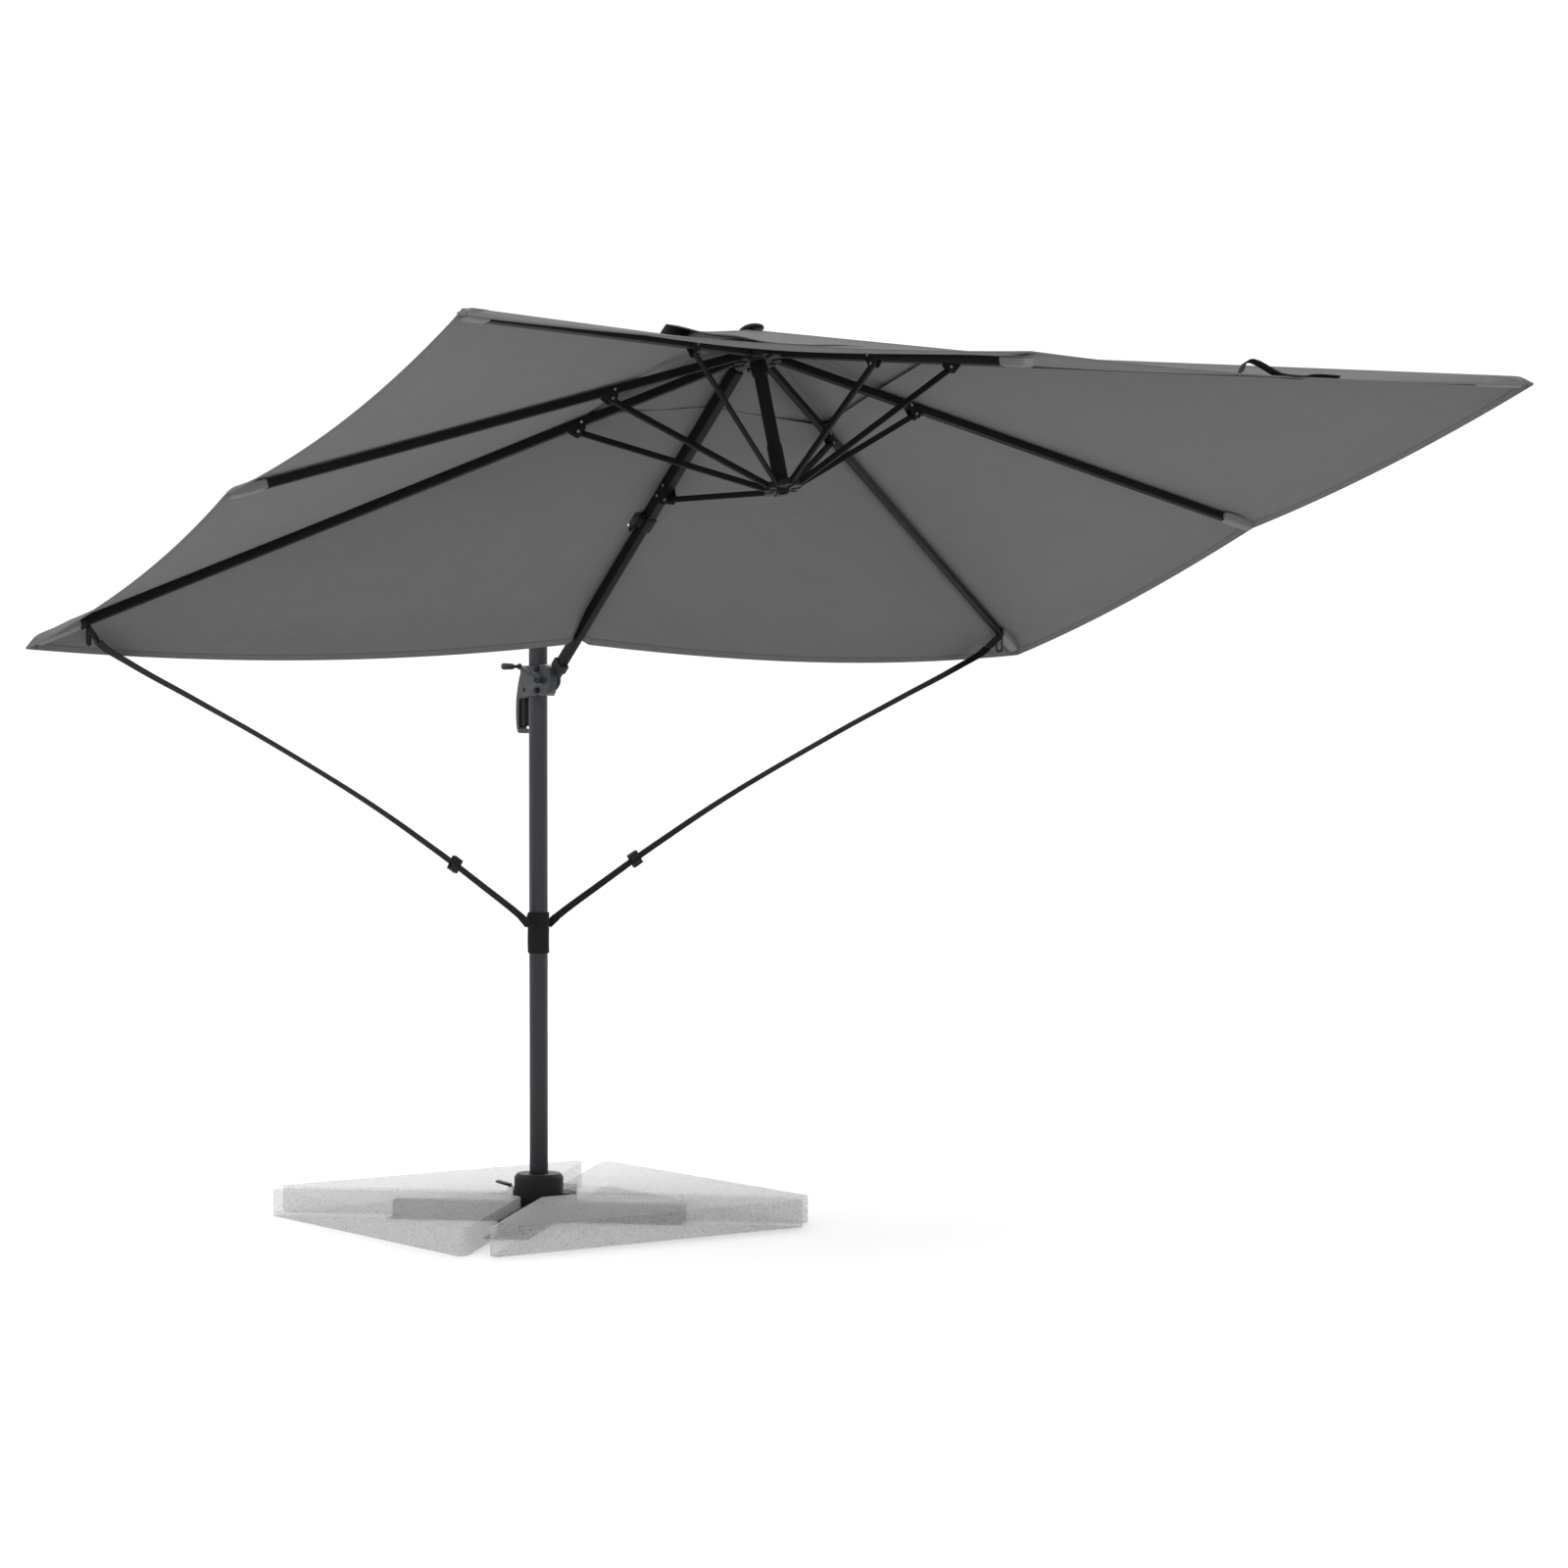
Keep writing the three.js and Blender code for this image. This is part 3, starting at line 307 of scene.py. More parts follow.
# %% Woven threads
woven, weave_in, weave_out = new_group(
    "Woven threads",
    [("Vector", VECTOR, None), ("Thread", SCALAR, 0.0012), ("Slub", SCALAR, 0.2)],
    [("Height", SCALAR), ("Tone", SCALAR)],
)
split = woven.nodes.new("ShaderNodeSeparateXYZ")
woven.links.new(weave_in.outputs["Vector"], split.inputs[0])
turns = math_node(woven, "DIVIDE", math.pi, weave_in.outputs["Thread"])
warp = math_node(woven, "SINE", math_node(woven, "MULTIPLY", split.outputs["X"], turns))
weft = math_node(woven, "SINE", math_node(woven, "MULTIPLY", split.outputs["Y"], turns))
over = math_node(woven, "MULTIPLY", warp, weft)
fibre = noise_node(woven, weave_in.outputs["Vector"], 150.0, 4.0, 0.75)
drift = noise_node(woven, weave_in.outputs["Vector"], 9.0, 5.0, 0.65)
mottle = math_node(woven, "MULTIPLY", math_node(woven, "SUBTRACT", fibre, 0.5), weave_in.outputs["Slub"])
slow = math_node(woven, "MULTIPLY", math_node(woven, "SUBTRACT", drift, 0.5), 0.16)
tone = math_node(woven, "ADD", math_node(woven, "ADD", mottle, slow), 1.0)
height = math_node(woven, "ADD", over, math_node(woven, "MULTIPLY", fibre, 0.6))
woven.links.new(height, weave_out.inputs["Height"])
woven.links.new(tone, weave_out.inputs["Tone"])
print("group:", woven.name)

# %% [markdown]
# One function starts every finish: a Principled shader, the Object coordinates and a Bump node. Roughness, metalness
# and gloss that are the same all over are set straight on the shader.

# %% Starting a finish
def start_finish(name, roughness, metallic=0.0, **uniform):
    material = bpy.data.materials.new(name)
    material.use_nodes = True
    tree = material.node_tree
    shader = tree.nodes["Principled BSDF"]
    shader.inputs["Roughness"].default_value = roughness
    shader.inputs["Metallic"].default_value = metallic
    for label, value in uniform.items():
        shader.inputs[label.replace("_", " ")].default_value = value
    place = tree.nodes.new("ShaderNodeTexCoord")
    return material, tree, shader, place


def group_node(tree, group, vector, **values):
    node = tree.nodes.new("ShaderNodeGroup")
    node.node_tree = group
    tree.links.new(vector, node.inputs["Vector"])
    for label, value in values.items():
        node.inputs[label.replace("_", " ")].default_value = value
    return node


def bump(tree, shader, height, distance, strength=1.0):
    node = tree.nodes.new("ShaderNodeBump")
    node.inputs["Distance"].default_value = distance
    node.inputs["Strength"].default_value = strength
    tree.links.new(height, node.inputs["Height"])
    tree.links.new(node.outputs["Normal"], shader.inputs["Normal"])


def mix_colours(tree, factor, first, second, blend="MIX"):
    node = tree.nodes.new("ShaderNodeMix")
    node.data_type = "RGBA"
    node.blend_type = blend
    for socket, value in ((0, factor), (6, first), (7, second)):
        plug(tree, value, node.inputs[socket])
    return node.outputs[2]


def tinted(tree, colour, tone):
    shade = tree.nodes.new("ShaderNodeCombineColor")
    for channel in range(3):
        tree.links.new(tone, shade.inputs[channel])
    return mix_colours(tree, 1.0, colour, shade.outputs[0], "MULTIPLY")


# %% [markdown]
# Coated metal, moulded plastic and zinc plate differ only in numbers: colour, roughness, gloss and the size of the
# grain. One function makes all five finishes, so they share the same light wear and dust.

# %% Coats, plastics and zinc
DUST_COLOUR = (0.35, 0.34, 0.32)
GRAIN_RELIEF = 0.00012
PLASTIC_GRAIN = 0.0009


def hard_finish(
    name, colour, worn_colour, roughness, metallic=0.0, grain=0.0015, wear=0.1, dust_share=0.04, gloss=0.22
):
    material, tree, shader, place = start_finish(name, roughness, metallic, Specular_IOR_Level=gloss)
    where = place.outputs["Object"]
    grain_tool = group_node(tree, fine_grain, where, Grain_size=grain, Tone_change=0.35)
    wear_tool = group_node(tree, edge_wear, where, Amount=wear)
    dust_tool = group_node(tree, settled_dust, where, Amount=dust_share)
    base = tinted(tree, colour, grain_tool.outputs["Tone"])
    base = mix_colours(tree, wear_tool.outputs["Mask"], base, worn_colour)
    base = mix_colours(tree, dust_tool.outputs["Mask"], base, DUST_COLOUR)
    tree.links.new(base, shader.inputs["Base Color"])
    rough = math_node(tree, "MULTIPLY", grain_tool.outputs["Tone"], roughness)
    rough = math_node(tree, "ADD", rough, math_node(tree, "MULTIPLY", dust_tool.outputs["Mask"], 0.5), clamp=True)
    tree.links.new(rough, shader.inputs["Roughness"])
    bump(tree, shader, grain_tool.outputs["Height"], GRAIN_RELIEF)
    return material


anthracite = hard_finish("anthracite_powder_coat", (0.016, 0.016, 0.021), (0.08, 0.08, 0.09), 0.46, gloss=0.35)
black_coat = hard_finish("black_powder_coat", (0.005, 0.005, 0.006), (0.035, 0.035, 0.038), 0.6, gloss=0.12)
black_plastic = hard_finish(
    "black_moulded_plastic", (0.006, 0.006, 0.0065), (0.035, 0.035, 0.035), 0.58, grain=PLASTIC_GRAIN
)
grey_plastic = hard_finish(
    "slate_moulded_plastic", (0.011, 0.014, 0.019), (0.1, 0.11, 0.12), 0.4, grain=PLASTIC_GRAIN, gloss=0.4
)
zinc = hard_finish(
    "zinc_plated_steel", (0.46, 0.45, 0.43), (0.6, 0.6, 0.58), 0.34, metallic=0.9, grain=0.004, wear=0.2, gloss=0.5
)
print("hard finishes made:", anthracite.name, black_coat.name, black_plastic.name, grey_plastic.name, zinc.name)

# %% [markdown]
# The canopy is woven polyester. Its UV map holds metres: across, the distance from the rib's seam, and along, the
# distance from the hem. So the two rows of stitches beside each seam and the one along the hem follow the cloth.

# %% Canopy cloth
HEM = 0.022  # width of the doubled cloth at the edge
SEAM_ROW = 0.009  # from a seam to the stitches on each side of it
HEM_ROW = 0.019  # from the edge to the hem's stitches
STITCH_PITCH = 0.005
STITCH_HALF_WIDTH = 0.0011
STITCH_SHARE = 0.72  # of its pitch that a stitch fills
THREAD_PITCH = 0.0013


def stitch_row(tree, position, offset, run):
    away = math_node(tree, "ABSOLUTE", math_node(tree, "SUBTRACT", position, offset))
    line = math_node(tree, "LESS_THAN", away, STITCH_HALF_WIDTH)
    beat = math_node(tree, "FRACT", math_node(tree, "DIVIDE", run, STITCH_PITCH))
    dash = math_node(tree, "LESS_THAN", beat, STITCH_SHARE)
    return math_node(tree, "MULTIPLY", line, dash)


def cloth_finish(name, colour, thread_colour, sewn=True, slub=0.42, relief=0.00016):
    material, tree, shader, place = start_finish(name, 0.92, Specular_IOR_Level=0.15)
    map_node = tree.nodes.new("ShaderNodeUVMap")
    map_node.uv_map = "cloth"
    where = map_node.outputs["UV"] if sewn else place.outputs["Object"]
    weave_tool = group_node(tree, woven, where, Thread=THREAD_PITCH, Slub=slub)
    base = tinted(tree, colour, weave_tool.outputs["Tone"])
    height = weave_tool.outputs["Height"]
    if sewn:
        parts = tree.nodes.new("ShaderNodeSeparateXYZ")
        tree.links.new(where, parts.inputs[0])
        across = math_node(tree, "ABSOLUTE", parts.outputs["X"])
        along = parts.outputs["Y"]
        seam = stitch_row(tree, across, SEAM_ROW, along)
        hem = stitch_row(tree, along, HEM_ROW, parts.outputs["X"])
        stitches = math_node(tree, "MAXIMUM", seam, hem)
        in_hem = math_node(tree, "LESS_THAN", along, HEM)
        base = mix_colours(tree, math_node(tree, "MULTIPLY", in_hem, 0.1), base, (0.02, 0.02, 0.02))
        base = mix_colours(tree, math_node(tree, "MULTIPLY", stitches, 0.7), base, thread_colour)
        height = math_node(tree, "SUBTRACT", height, math_node(tree, "MULTIPLY", stitches, 3.0))
    tree.links.new(base, shader.inputs["Base Color"])
    bump(tree, shader, height, relief)
    return material


canvas = cloth_finish("grey_canvas", (0.118, 0.115, 0.116), (0.052, 0.052, 0.052))
pocket_cloth = cloth_finish("pocket_cloth", (0.15, 0.147, 0.148), (0.08, 0.08, 0.08), sewn=False, slub=0.2)
webbing = cloth_finish("black_webbing", (0.012, 0.012, 0.013), (0.02, 0.02, 0.02), sewn=False, slub=0.3, relief=0.00003)
print("cloth finishes made:", canvas.name, pocket_cloth.name, webbing.name)

# %% [markdown]
# The slabs are cast granite with light and dark specks. They are shown half clear, so that the cross foot that lies
# between and under them can be seen. A single Alpha value on the shader does that.

# %% Speckled granite
SPECKS_PER_METRE = 420.0
DARK_SHARE = 0.24
PALE_FROM = 0.78


def granite_finish(name, alpha):
    material, tree, shader, place = start_finish(name, 0.75, Alpha=alpha)
    where = place.outputs["Object"]
    grain_tool = group_node(tree, fine_grain, where, Grain_size=0.0025, Tone_change=0.2)
    specks = tree.nodes.new("ShaderNodeTexVoronoi")
    specks.inputs["Scale"].default_value = SPECKS_PER_METRE
    tree.links.new(where, specks.inputs["Vector"])
    cell = tree.nodes.new("ShaderNodeSeparateColor")
    tree.links.new(specks.outputs["Color"], cell.inputs[0])
    dark = math_node(tree, "LESS_THAN", cell.outputs[0], DARK_SHARE)
    pale = math_node(tree, "GREATER_THAN", cell.outputs[1], PALE_FROM)
    base = tinted(tree, (0.5, 0.5, 0.5), grain_tool.outputs["Tone"])
    base = mix_colours(tree, math_node(tree, "MULTIPLY", dark, 0.7), base, (0.12, 0.12, 0.125))
    base = mix_colours(tree, math_node(tree, "MULTIPLY", pale, 0.6), base, (0.62, 0.62, 0.61))
    tree.links.new(base, shader.inputs["Base Color"])
    bump(tree, shader, grain_tool.outputs["Height"], 0.0003)
    return material


granite = granite_finish("speckled_granite", alpha=0.4)
print("stone finish made:", granite.name)

# %% [markdown]
# ## Storm straps
# Each strap is one length of flat webbing from the mast's sleeve to a clip under the end of a rear rib. It is made
# directly, as a thin band along a smooth curve, because its width and its length are what make it a strap. The route
# is the left strap's, in millimetres, and the right one mirrors it.

# %% The straps' route
STRAP_WIDTH = 0.025
STRAP_THICKNESS = 0.003
STRAP_ROUTE = [
    (4, 42, 777), (12, 92, 812), (25, 184, 871), (38, 276, 930), (51, 368, 986), (64, 460, 1041),
    (77, 552, 1093), (90, 644, 1142), (103, 736, 1189), (116, 828, 1235), (128, 920, 1280),
    (140, 1012, 1323), (152, 1104, 1366), (164, 1196, 1408), (174, 1270, 1444), (181, 1318, 1468),
    (186, 1345, 1488),
]


def smooth_route(points, steps):
    """Points on a smooth curve through these, steps of them from each to the next."""
    found = []
    for i in range(len(points) - 1):
        p0 = points[max(i - 1, 0)]
        p1, p2 = points[i], points[i + 1]
        p3 = points[min(i + 2, len(points) - 1)]
        for k in range(steps):
            t = k / steps
            found.append(
                0.5 * ((2 * p1) + (p2 - p0) * t + (2 * p0 - 5 * p1 + 4 * p2 - p3) * t**2
                       + (3 * p1 - p0 - 3 * p2 + p3) * t**3)
            )
    found.append(points[-1])
    return found


def heading(route, i):
    return (route[min(i + 1, len(route) - 1)] - route[max(i - 1, 0)]).normalized()


def mesh_object(name, mesh):
    data = bpy.data.meshes.new(name)
    mesh.to_mesh(data)
    mesh.free()
    return add_object(name, data)


def band(name, route, sides, width, thickness, body, material=webbing, angle=40):
    """A closed flat band: at each point of the route, sides gives the direction of its width."""
    mesh = bmesh.new()
    rows = []
    w, t = width / 2, thickness / 2
    flat = w * 0.92  # beyond it the band's edge is chamfered
    corners = [(-w, -t / 2), (-flat, -t), (flat, -t), (w, -t / 2), (w, t / 2), (flat, t), (-flat, t), (-w, t / 2)]
    for i, point in enumerate(route):
        ahead = heading(route, i)
        side = (sides[i] - ahead * sides[i].dot(ahead)).normalized()
        face = ahead.cross(side).normalized()
        rows.append([mesh.verts.new(point + side * a + face * b) for a, b in corners])
    for first, second in zip(rows, rows[1:]):
        for k in range(len(corners)):
            after = (k + 1) % len(corners)
            mesh.faces.new((first[k], first[after], second[after], second[k]))
    mesh.faces.new(rows[0][::-1])
    mesh.faces.new(rows[-1])
    bmesh.ops.recalc_face_normals(mesh, faces=mesh.faces)
    made = mesh_object(name, mesh)
    smooth(made, angle)
    return finish_piece(made, body, material)


def straight(start, end, steps):
    return [start.lerp(end, k / steps) for k in range(steps + 1)]


def run_length(route):
    return sum((b - a).length for a, b in zip(route, route[1:]))


print("strap route has", len(STRAP_ROUTE), "points")

# %% [markdown]
# The webbing leaves the sleeve flat against the mast's side and turns a little on its way, so the band's width
# direction turns with it. The printed length is the one measured along the route.

# %% Two storm straps
SIDES = ((1, "left"), (-1, "right"))
STRAP_TURN = 114  # degrees round its own run, at both ends
STRAP_UNTWIST = 14  # degrees less at its middle

strap_runs = {}
for side, name in SIDES:
    route = smooth_route([Vector((x, side * y, z)) / 1000 for x, y, z in STRAP_ROUTE], 6)
    sides = []
    for i in range(len(route)):
        share = i / (len(route) - 1)
        turn = math.radians(STRAP_TURN - STRAP_UNTWIST * math.sin(math.pi * share))
        ahead = heading(route, i)
        flat = ahead.cross(Vector((1, 0, 0))).normalized()
        sides.append(Matrix.Rotation(turn, 3, ahead) @ flat)
    strap = band(f"storm_strap_{name}", route, sides, STRAP_WIDTH, STRAP_THICKNESS, f"strap_{name}", angle=30)
    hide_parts(f"strap_{name}")
    strap_runs[name] = (route, sides)
    print("strap", name, "is", round(run_length(route), 3), "m long")

# %% [markdown]
# ## The hard pieces
# The frame's tubes, castings and plates already have their true shapes, with sharp edges. Real ones have a small
# radius everywhere, and it is the radius that catches the light. So each is copied, its flat faces are merged,
# and a Bevel modifier rounds the edges.

# %% Rounding the edges of a frame piece
body_of_node = {n: body for body, members in frame["record"]["behaviour"]["bodies"].items() for n in members}


def rounded(node, material, radius, segments=2, angle=25):
    source = frame["nodes"][node]
    piece = add_object(f"{node}_finished", source.data.copy())
    edit_all(piece)
    bpy.ops.mesh.remove_doubles(threshold=0.00002)
    bpy.ops.mesh.dissolve_limited(angle_limit=math.radians(0.6))
    leave_edit()
    if radius:
        press_modifier(
            piece, "BEVEL", width=radius, segments=segments, limit_method="ANGLE",
            angle_limit=math.radians(angle), use_clamp_overlap=True,
        )
    smooth(piece, angle + 3)
    finish_piece(piece, body_of_node[node], material)
    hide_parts(node)
    return piece


# %% [markdown]
# Tubes get a small radius on their corners and mouths. Castings and moulded pieces get a larger one. The ribs and
# struts are one size of flat tube each, so one setting serves them all.

# %% Mast, arm, link and foot
RIB_NAMES = ["front", "front_left", "left", "rear_left", "rear_right", "right", "front_right"]

TUBES = [  # nodes, finish, radius, segments, and from which angle an edge is rounded
    (["mast_lower_tube", "mast_upper_tube"], anthracite, 0.0006, 2, 40),
    (["arm_lower_tube", "arm_upper_tube"], black_coat, 0.0016, 3, 40),
    (["cross_bar_lower", "cross_bar_upper", "link_rod", "mast_top_bracket"], black_coat, 0.0012, 2, 35),
    (["link_bracket", "arm_strut_bracket", "centre_pole"], black_coat, 0.0006, 2, 35),
    ([f"rib_{name}" for name in RIB_NAMES], black_coat, 0.0007, 2, 40),
    ([f"strut_{name}" for name in [*RIB_NAMES, "rear"]], black_coat, 0.001, 2, 40),
]


def round_all(table):
    for nodes, *how in table:
        for node in nodes:
            rounded(node, *how)
    return sum(len(row[0]) for row in table)


print("tubes finished:", round_all(TUBES))

# %% [markdown]
# Moulded parts get a radius near a millimetre, bare steel a smaller one, and the stone's edges a chamfer of 3 mm. A
# pin, bush or drum that is almost hidden keeps the frame's own shape and only gets its material.

# %% Castings, mouldings and metalwork
MOULDINGS = [
    (["arm_knuckle", "top_hub", "runner", "socket_cover", "foot_pedal", "grip_trigger", "vent_finial"],
     black_plastic, 0.0008, 2, 30),
    (["carriage_shell_right", "carriage_shell_left", "crank_handle", "crank_knob"], grey_plastic, 0.0012, 3, 30),
    *(([f"strap_{part}_{side}"], black_plastic, radius, 2, 30)
      for _, side in SIDES for part, radius in (("hook", 0.0012), ("buckle", 0.0006))),
    (["socket_flange", "pedal_bracket", "brake_disc"], zinc, 0.0005, 1, 35),
]
SLABS = [(["slab_front", "slab_left", "slab_rear", "slab_right"], granite, 0.003, 2, 30)]
REPAINTED = [
    (["cord_drum", "carriage_bush", "swivel_bush"], black_plastic),
    (["pivot_pin", "hub_pin", "mast_joint_sleeve"], zinc),
    (["lift_cord"], webbing),
]
print("mouldings and metalwork finished:", round_all(MOULDINGS))
for nodes, material in REPAINTED:
    for node in nodes:
        frame["nodes"][node].data.materials.clear()
        frame["nodes"][node].data.materials.append(material)
print("slabs finished:", round_all(SLABS))

# %% [markdown]
# ## The canopy
# The cloth is one curved surface: held along the seven ribs and the arm, pulled in between them at the hem, and
# sagging a little in the middle of each panel. It is cut along the middle of each panel, so that each strip can
# follow its own rib down when the parasol closes. At rest the strips meet edge to edge and read as one sheet.

# %% The canopy's own axes
HUB_PIN_X = -0.048  # the hub's pin, from the hub's centre
HUB_PIN_Z = 0.003

pin = Vector(joints["canopy_fold"]["pos_m"])
hub_up = -Vector(joints["runner_slide"]["axis"]).normalized()
hub_across = Vector((0, 1, 0))
hub_ahead = hub_across.cross(hub_up).normalized()
hub_centre = pin - hub_ahead * HUB_PIN_X - hub_up * HUB_PIN_Z


def on_hub(x, y, z):
    return hub_centre + hub_ahead * x + hub_across * y + hub_up * z


print("hub centre:", [round(v, 4) for v in hub_centre])

# %% [markdown]
# A seam lies over each rib and over the arm, and the sizes here are those of the frame's own canopy. Seven seams run
# straight from the hub's hinges to the rim. The eighth follows the arm, which leaves the hub at its own slope.

# %% Seams of the canopy
CLOTH_LIFT = 0.004  # between a rib's top and the seam
RIB_TOP = 0.010
HALF_WIDTH = 1.5
HALF_DEPTH = 1.016
SIDE_REACH = 1.492
FRONT_REACH = 0.955
RIM_DROP = 0.410
HINGE_REACH = 0.048
HINGE_DROP = 0.014
ARM_SLOPE = 42.1
HUB_TILT = 18.03
ARM_PITCH = math.radians(ARM_SLOPE - HUB_TILT)
ARM_TOP = 0.0147 / math.cos(ARM_PITCH)
SEAM_BODIES = [
    "rib_front", "rib_front_left", "rib_left", "rib_rear_left", "arm", "rib_rear_right", "rib_right",
    "rib_front_right",
]
ARM_SEAM = SEAM_BODIES.index("arm")
CORNER = math.hypot(HALF_DEPTH, HALF_WIDTH)
SEAMS = [  # direction seen from above, and how far the seam reaches
    (1, 0, FRONT_REACH), (HALF_DEPTH / CORNER, HALF_WIDTH / CORNER, CORNER), (0, 1, SIDE_REACH),
    (-HALF_DEPTH / CORNER, HALF_WIDTH / CORNER, CORNER), (-1, 0, FRONT_REACH),
    (-HALF_DEPTH / CORNER, -HALF_WIDTH / CORNER, CORNER), (0, -1, SIDE_REACH),
    (HALF_DEPTH / CORNER, -HALF_WIDTH / CORNER, CORNER),
]


def seam_height(index, reach, share):
    if index == ARM_SEAM:
        return HUB_PIN_Z + (-reach * share - HUB_PIN_X) * math.tan(ARM_PITCH) + ARM_TOP + CLOTH_LIFT
    slope = math.atan2(RIM_DROP - HINGE_DROP, reach - HINGE_REACH)
    return -HINGE_DROP - (reach * share - HINGE_REACH) * math.tan(slope) + RIB_TOP / math.cos(slope) + CLOTH_LIFT


def seam_point(index, share, lift=0.0):
    ax, ay, reach = SEAMS[index % 8]
    return Vector((ax * reach * share, ay * reach * share, seam_height(index % 8, reach, share) + lift))


print("seams:", len(SEAMS))

# %% [markdown]
# A panel's point is found from s, how far it is along the hem between two seams, and t, how far it is from the vent
# to the hem. The hem's curve and the panel's sag both fade to nothing at the seams, where the ribs hold the cloth. A
# rib ends a little short of the hem, so beyond its tip the cloth droops. Two sheets are made this way, the main cloth
# and the small cap over the vent.

# %% A point of a panel
VENT_SHARE = 0.235  # of the canopy's plan size
CAP_SHARE = 0.335
CAP_TOP = 0.047  # where all the cap's strips meet
MAIN_CLOTH = {"inner": VENT_SHARE, "outer": 1.0, "run": 1 - VENT_SHARE, "lift": 0.0, "hem": None, "sag": 0.016}
VENT_CAP = {
    "inner": 0.012, "outer": CAP_SHARE, "run": CAP_SHARE, "lift": 0.002, "hem": (0.016, 0.018), "sag": 0.001,
}
DROOP = [-0.008, 0.020, 0.016, 0.024, 0.034, 0.024, 0.016, 0.018]  # how far the cloth falls past each rib's tip
HEM_SHAPES = [(0.02, 0.014), (0.026, 0.034), (0.026, 0.034), (0.024, 0.042)]  # how far each hem curves in and down
HEM_SHAPES += HEM_SHAPES[::-1]


def droop(index, s, t, length):
    """The fall of the cloth beyond the ribs' tips, which begins where a rib ends."""
    near_arm = {3: s, 4: 1 - s}.get(index, 0.0)
    beside = min(1.0, 90 * (1 - near_arm)) if near_arm else 1.0
    free = max(min(1.0, 6 * s * (1 - s)), near_arm)
    past = max(0.0, 1 - (1 - t) * length / (0.034 + 0.10 * free))
    return (DROOP[index] * (1 - s) + DROOP[(index + 1) % 8] * s) * beside * past**1.5


def panel_point(cloth, index, s, t):
    outer = cloth["outer"]
    is_cap = outer < 1.0
    a = seam_point(index, cloth["inner"]).lerp(seam_point(index + 1, cloth["inner"]), s)
    if is_cap:
        a.z = CAP_TOP
    b0, b1 = seam_point(index, outer, cloth["lift"]), seam_point(index + 1, outer, cloth["lift"])
    b = b0.lerp(b1, s)
    bow = 4 * s * (1 - s)
    spread = (b1 - b0).length / HALF_WIDTH
    hem_in, hem_down = cloth["hem"] or HEM_SHAPES[index]
    inward = Vector((b.x, b.y, 0)).normalized()
    b = b - inward * hem_in * bow * spread - Vector((0, 0, hem_down * bow * spread))
    point = a.lerp(b, t)
    if not is_cap:
        point.z -= droop(index, s, t, (b - a).length)
    return point - Vector((0, 0, cloth["sag"] * bow * math.sin(math.pi * t) * spread))


print("panels:", len(HEM_SHAPES))

# %% [markdown]
# A strip is built as a grid: a column of points for each step across, and a row for each step from the vent to the
# hem. Its UV map is written at the same time, in metres.

# %% One strip of cloth
def strip_of_cloth(name, cloth, index, rows, half_columns, ripple=None):
    """The cloth that one rib carries: from the middle of the panel before its seam to the middle of the next."""
    mesh = bmesh.new()
    uv_layer = mesh.loops.layers.uv.new("cloth")
    grid = []
    coords = {}
    seam_dir = Vector(SEAMS[index][:2])
    crowding = 1.6 if index == ARM_SEAM else 1.0
    for k in range(-half_columns, half_columns + 1):
        column = []
        aside = 0.5 * (abs(k) / half_columns) ** crowding
        panel, s = (index, aside) if k >= 0 else ((index - 1) % 8, 1 - aside)
        hem = panel_point(cloth, panel, s, 1.0)
        for t in rows:
            place = panel_point(cloth, panel, s, t)
            if ripple:
                place = place + Vector((0, 0, ripple(panel, s, t)))
            vert = mesh.verts.new(on_hub(*place))
            across = -place.x * seam_dir.y + place.y * seam_dir.x
            coords[vert] = (across, (hem - place).length)
            column.append(vert)
        grid.append(column)
    for left, right in zip(grid, grid[1:]):
        for r in range(len(rows) - 1):
            face = mesh.faces.new((left[r], left[r + 1], right[r + 1], right[r]))
            for loop in face.loops:
                loop[uv_layer].uv = coords[loop.vert]
    area = sum(face.calc_area() for face in mesh.faces)
    return mesh_object(name, mesh), area


def row_shares(length, count):
    """Even rows, then two close ones that make the hem's fold."""
    hem_share = 1 - HEM / length
    return [hem_share * i / count for i in range(count)] + [hem_share, hem_share + 0.08 * (1 - hem_share), 1.0]


# %% [markdown]
# The strip gets its thickness from a Solidify modifier, with the hem's rows at full thickness and the rest thinner.
# A vertex group holds that difference. It grows upwards, so that its underside stays on the ribs.

# %% Thickness and a doubled hem
def thicken(piece, single, double):
    group = piece.vertex_groups.new(name="hem")
    uv = piece.data.uv_layers["cloth"].data
    along = {}
    for loop in piece.data.loops:
        along[loop.vertex_index] = uv[loop.index].uv[1]
    for vertex, distance in along.items():
        group.add([vertex], 1.0 if distance < HEM else 0.0, "REPLACE")
    press_modifier(
        piece, "SOLIDIFY", thickness=double, offset=1.0, use_even_offset=True, use_rim=True,
        vertex_group="hem", thickness_vertex_group=single / double,
    )
    piece.vertex_groups.clear()


def face_up(piece):
    """Solidify grows along the normals, so they have to point up and out before it."""
    total = Vector((0, 0, 0))
    for polygon in piece.data.polygons:
        total += polygon.normal * polygon.area
    if total.dot(hub_up) < 0:
        edit_all(piece)
        bpy.ops.mesh.flip_normals()
        leave_edit()


# %% [markdown]
# Sixteen strips make the main cloth and the small cap over the vent. Each rides on its rib.

# %% Eight strips of canopy and eight of vent cap
def fold_in(piece):
    """Gives the strip its own copy of its mesh."""
    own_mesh(piece)


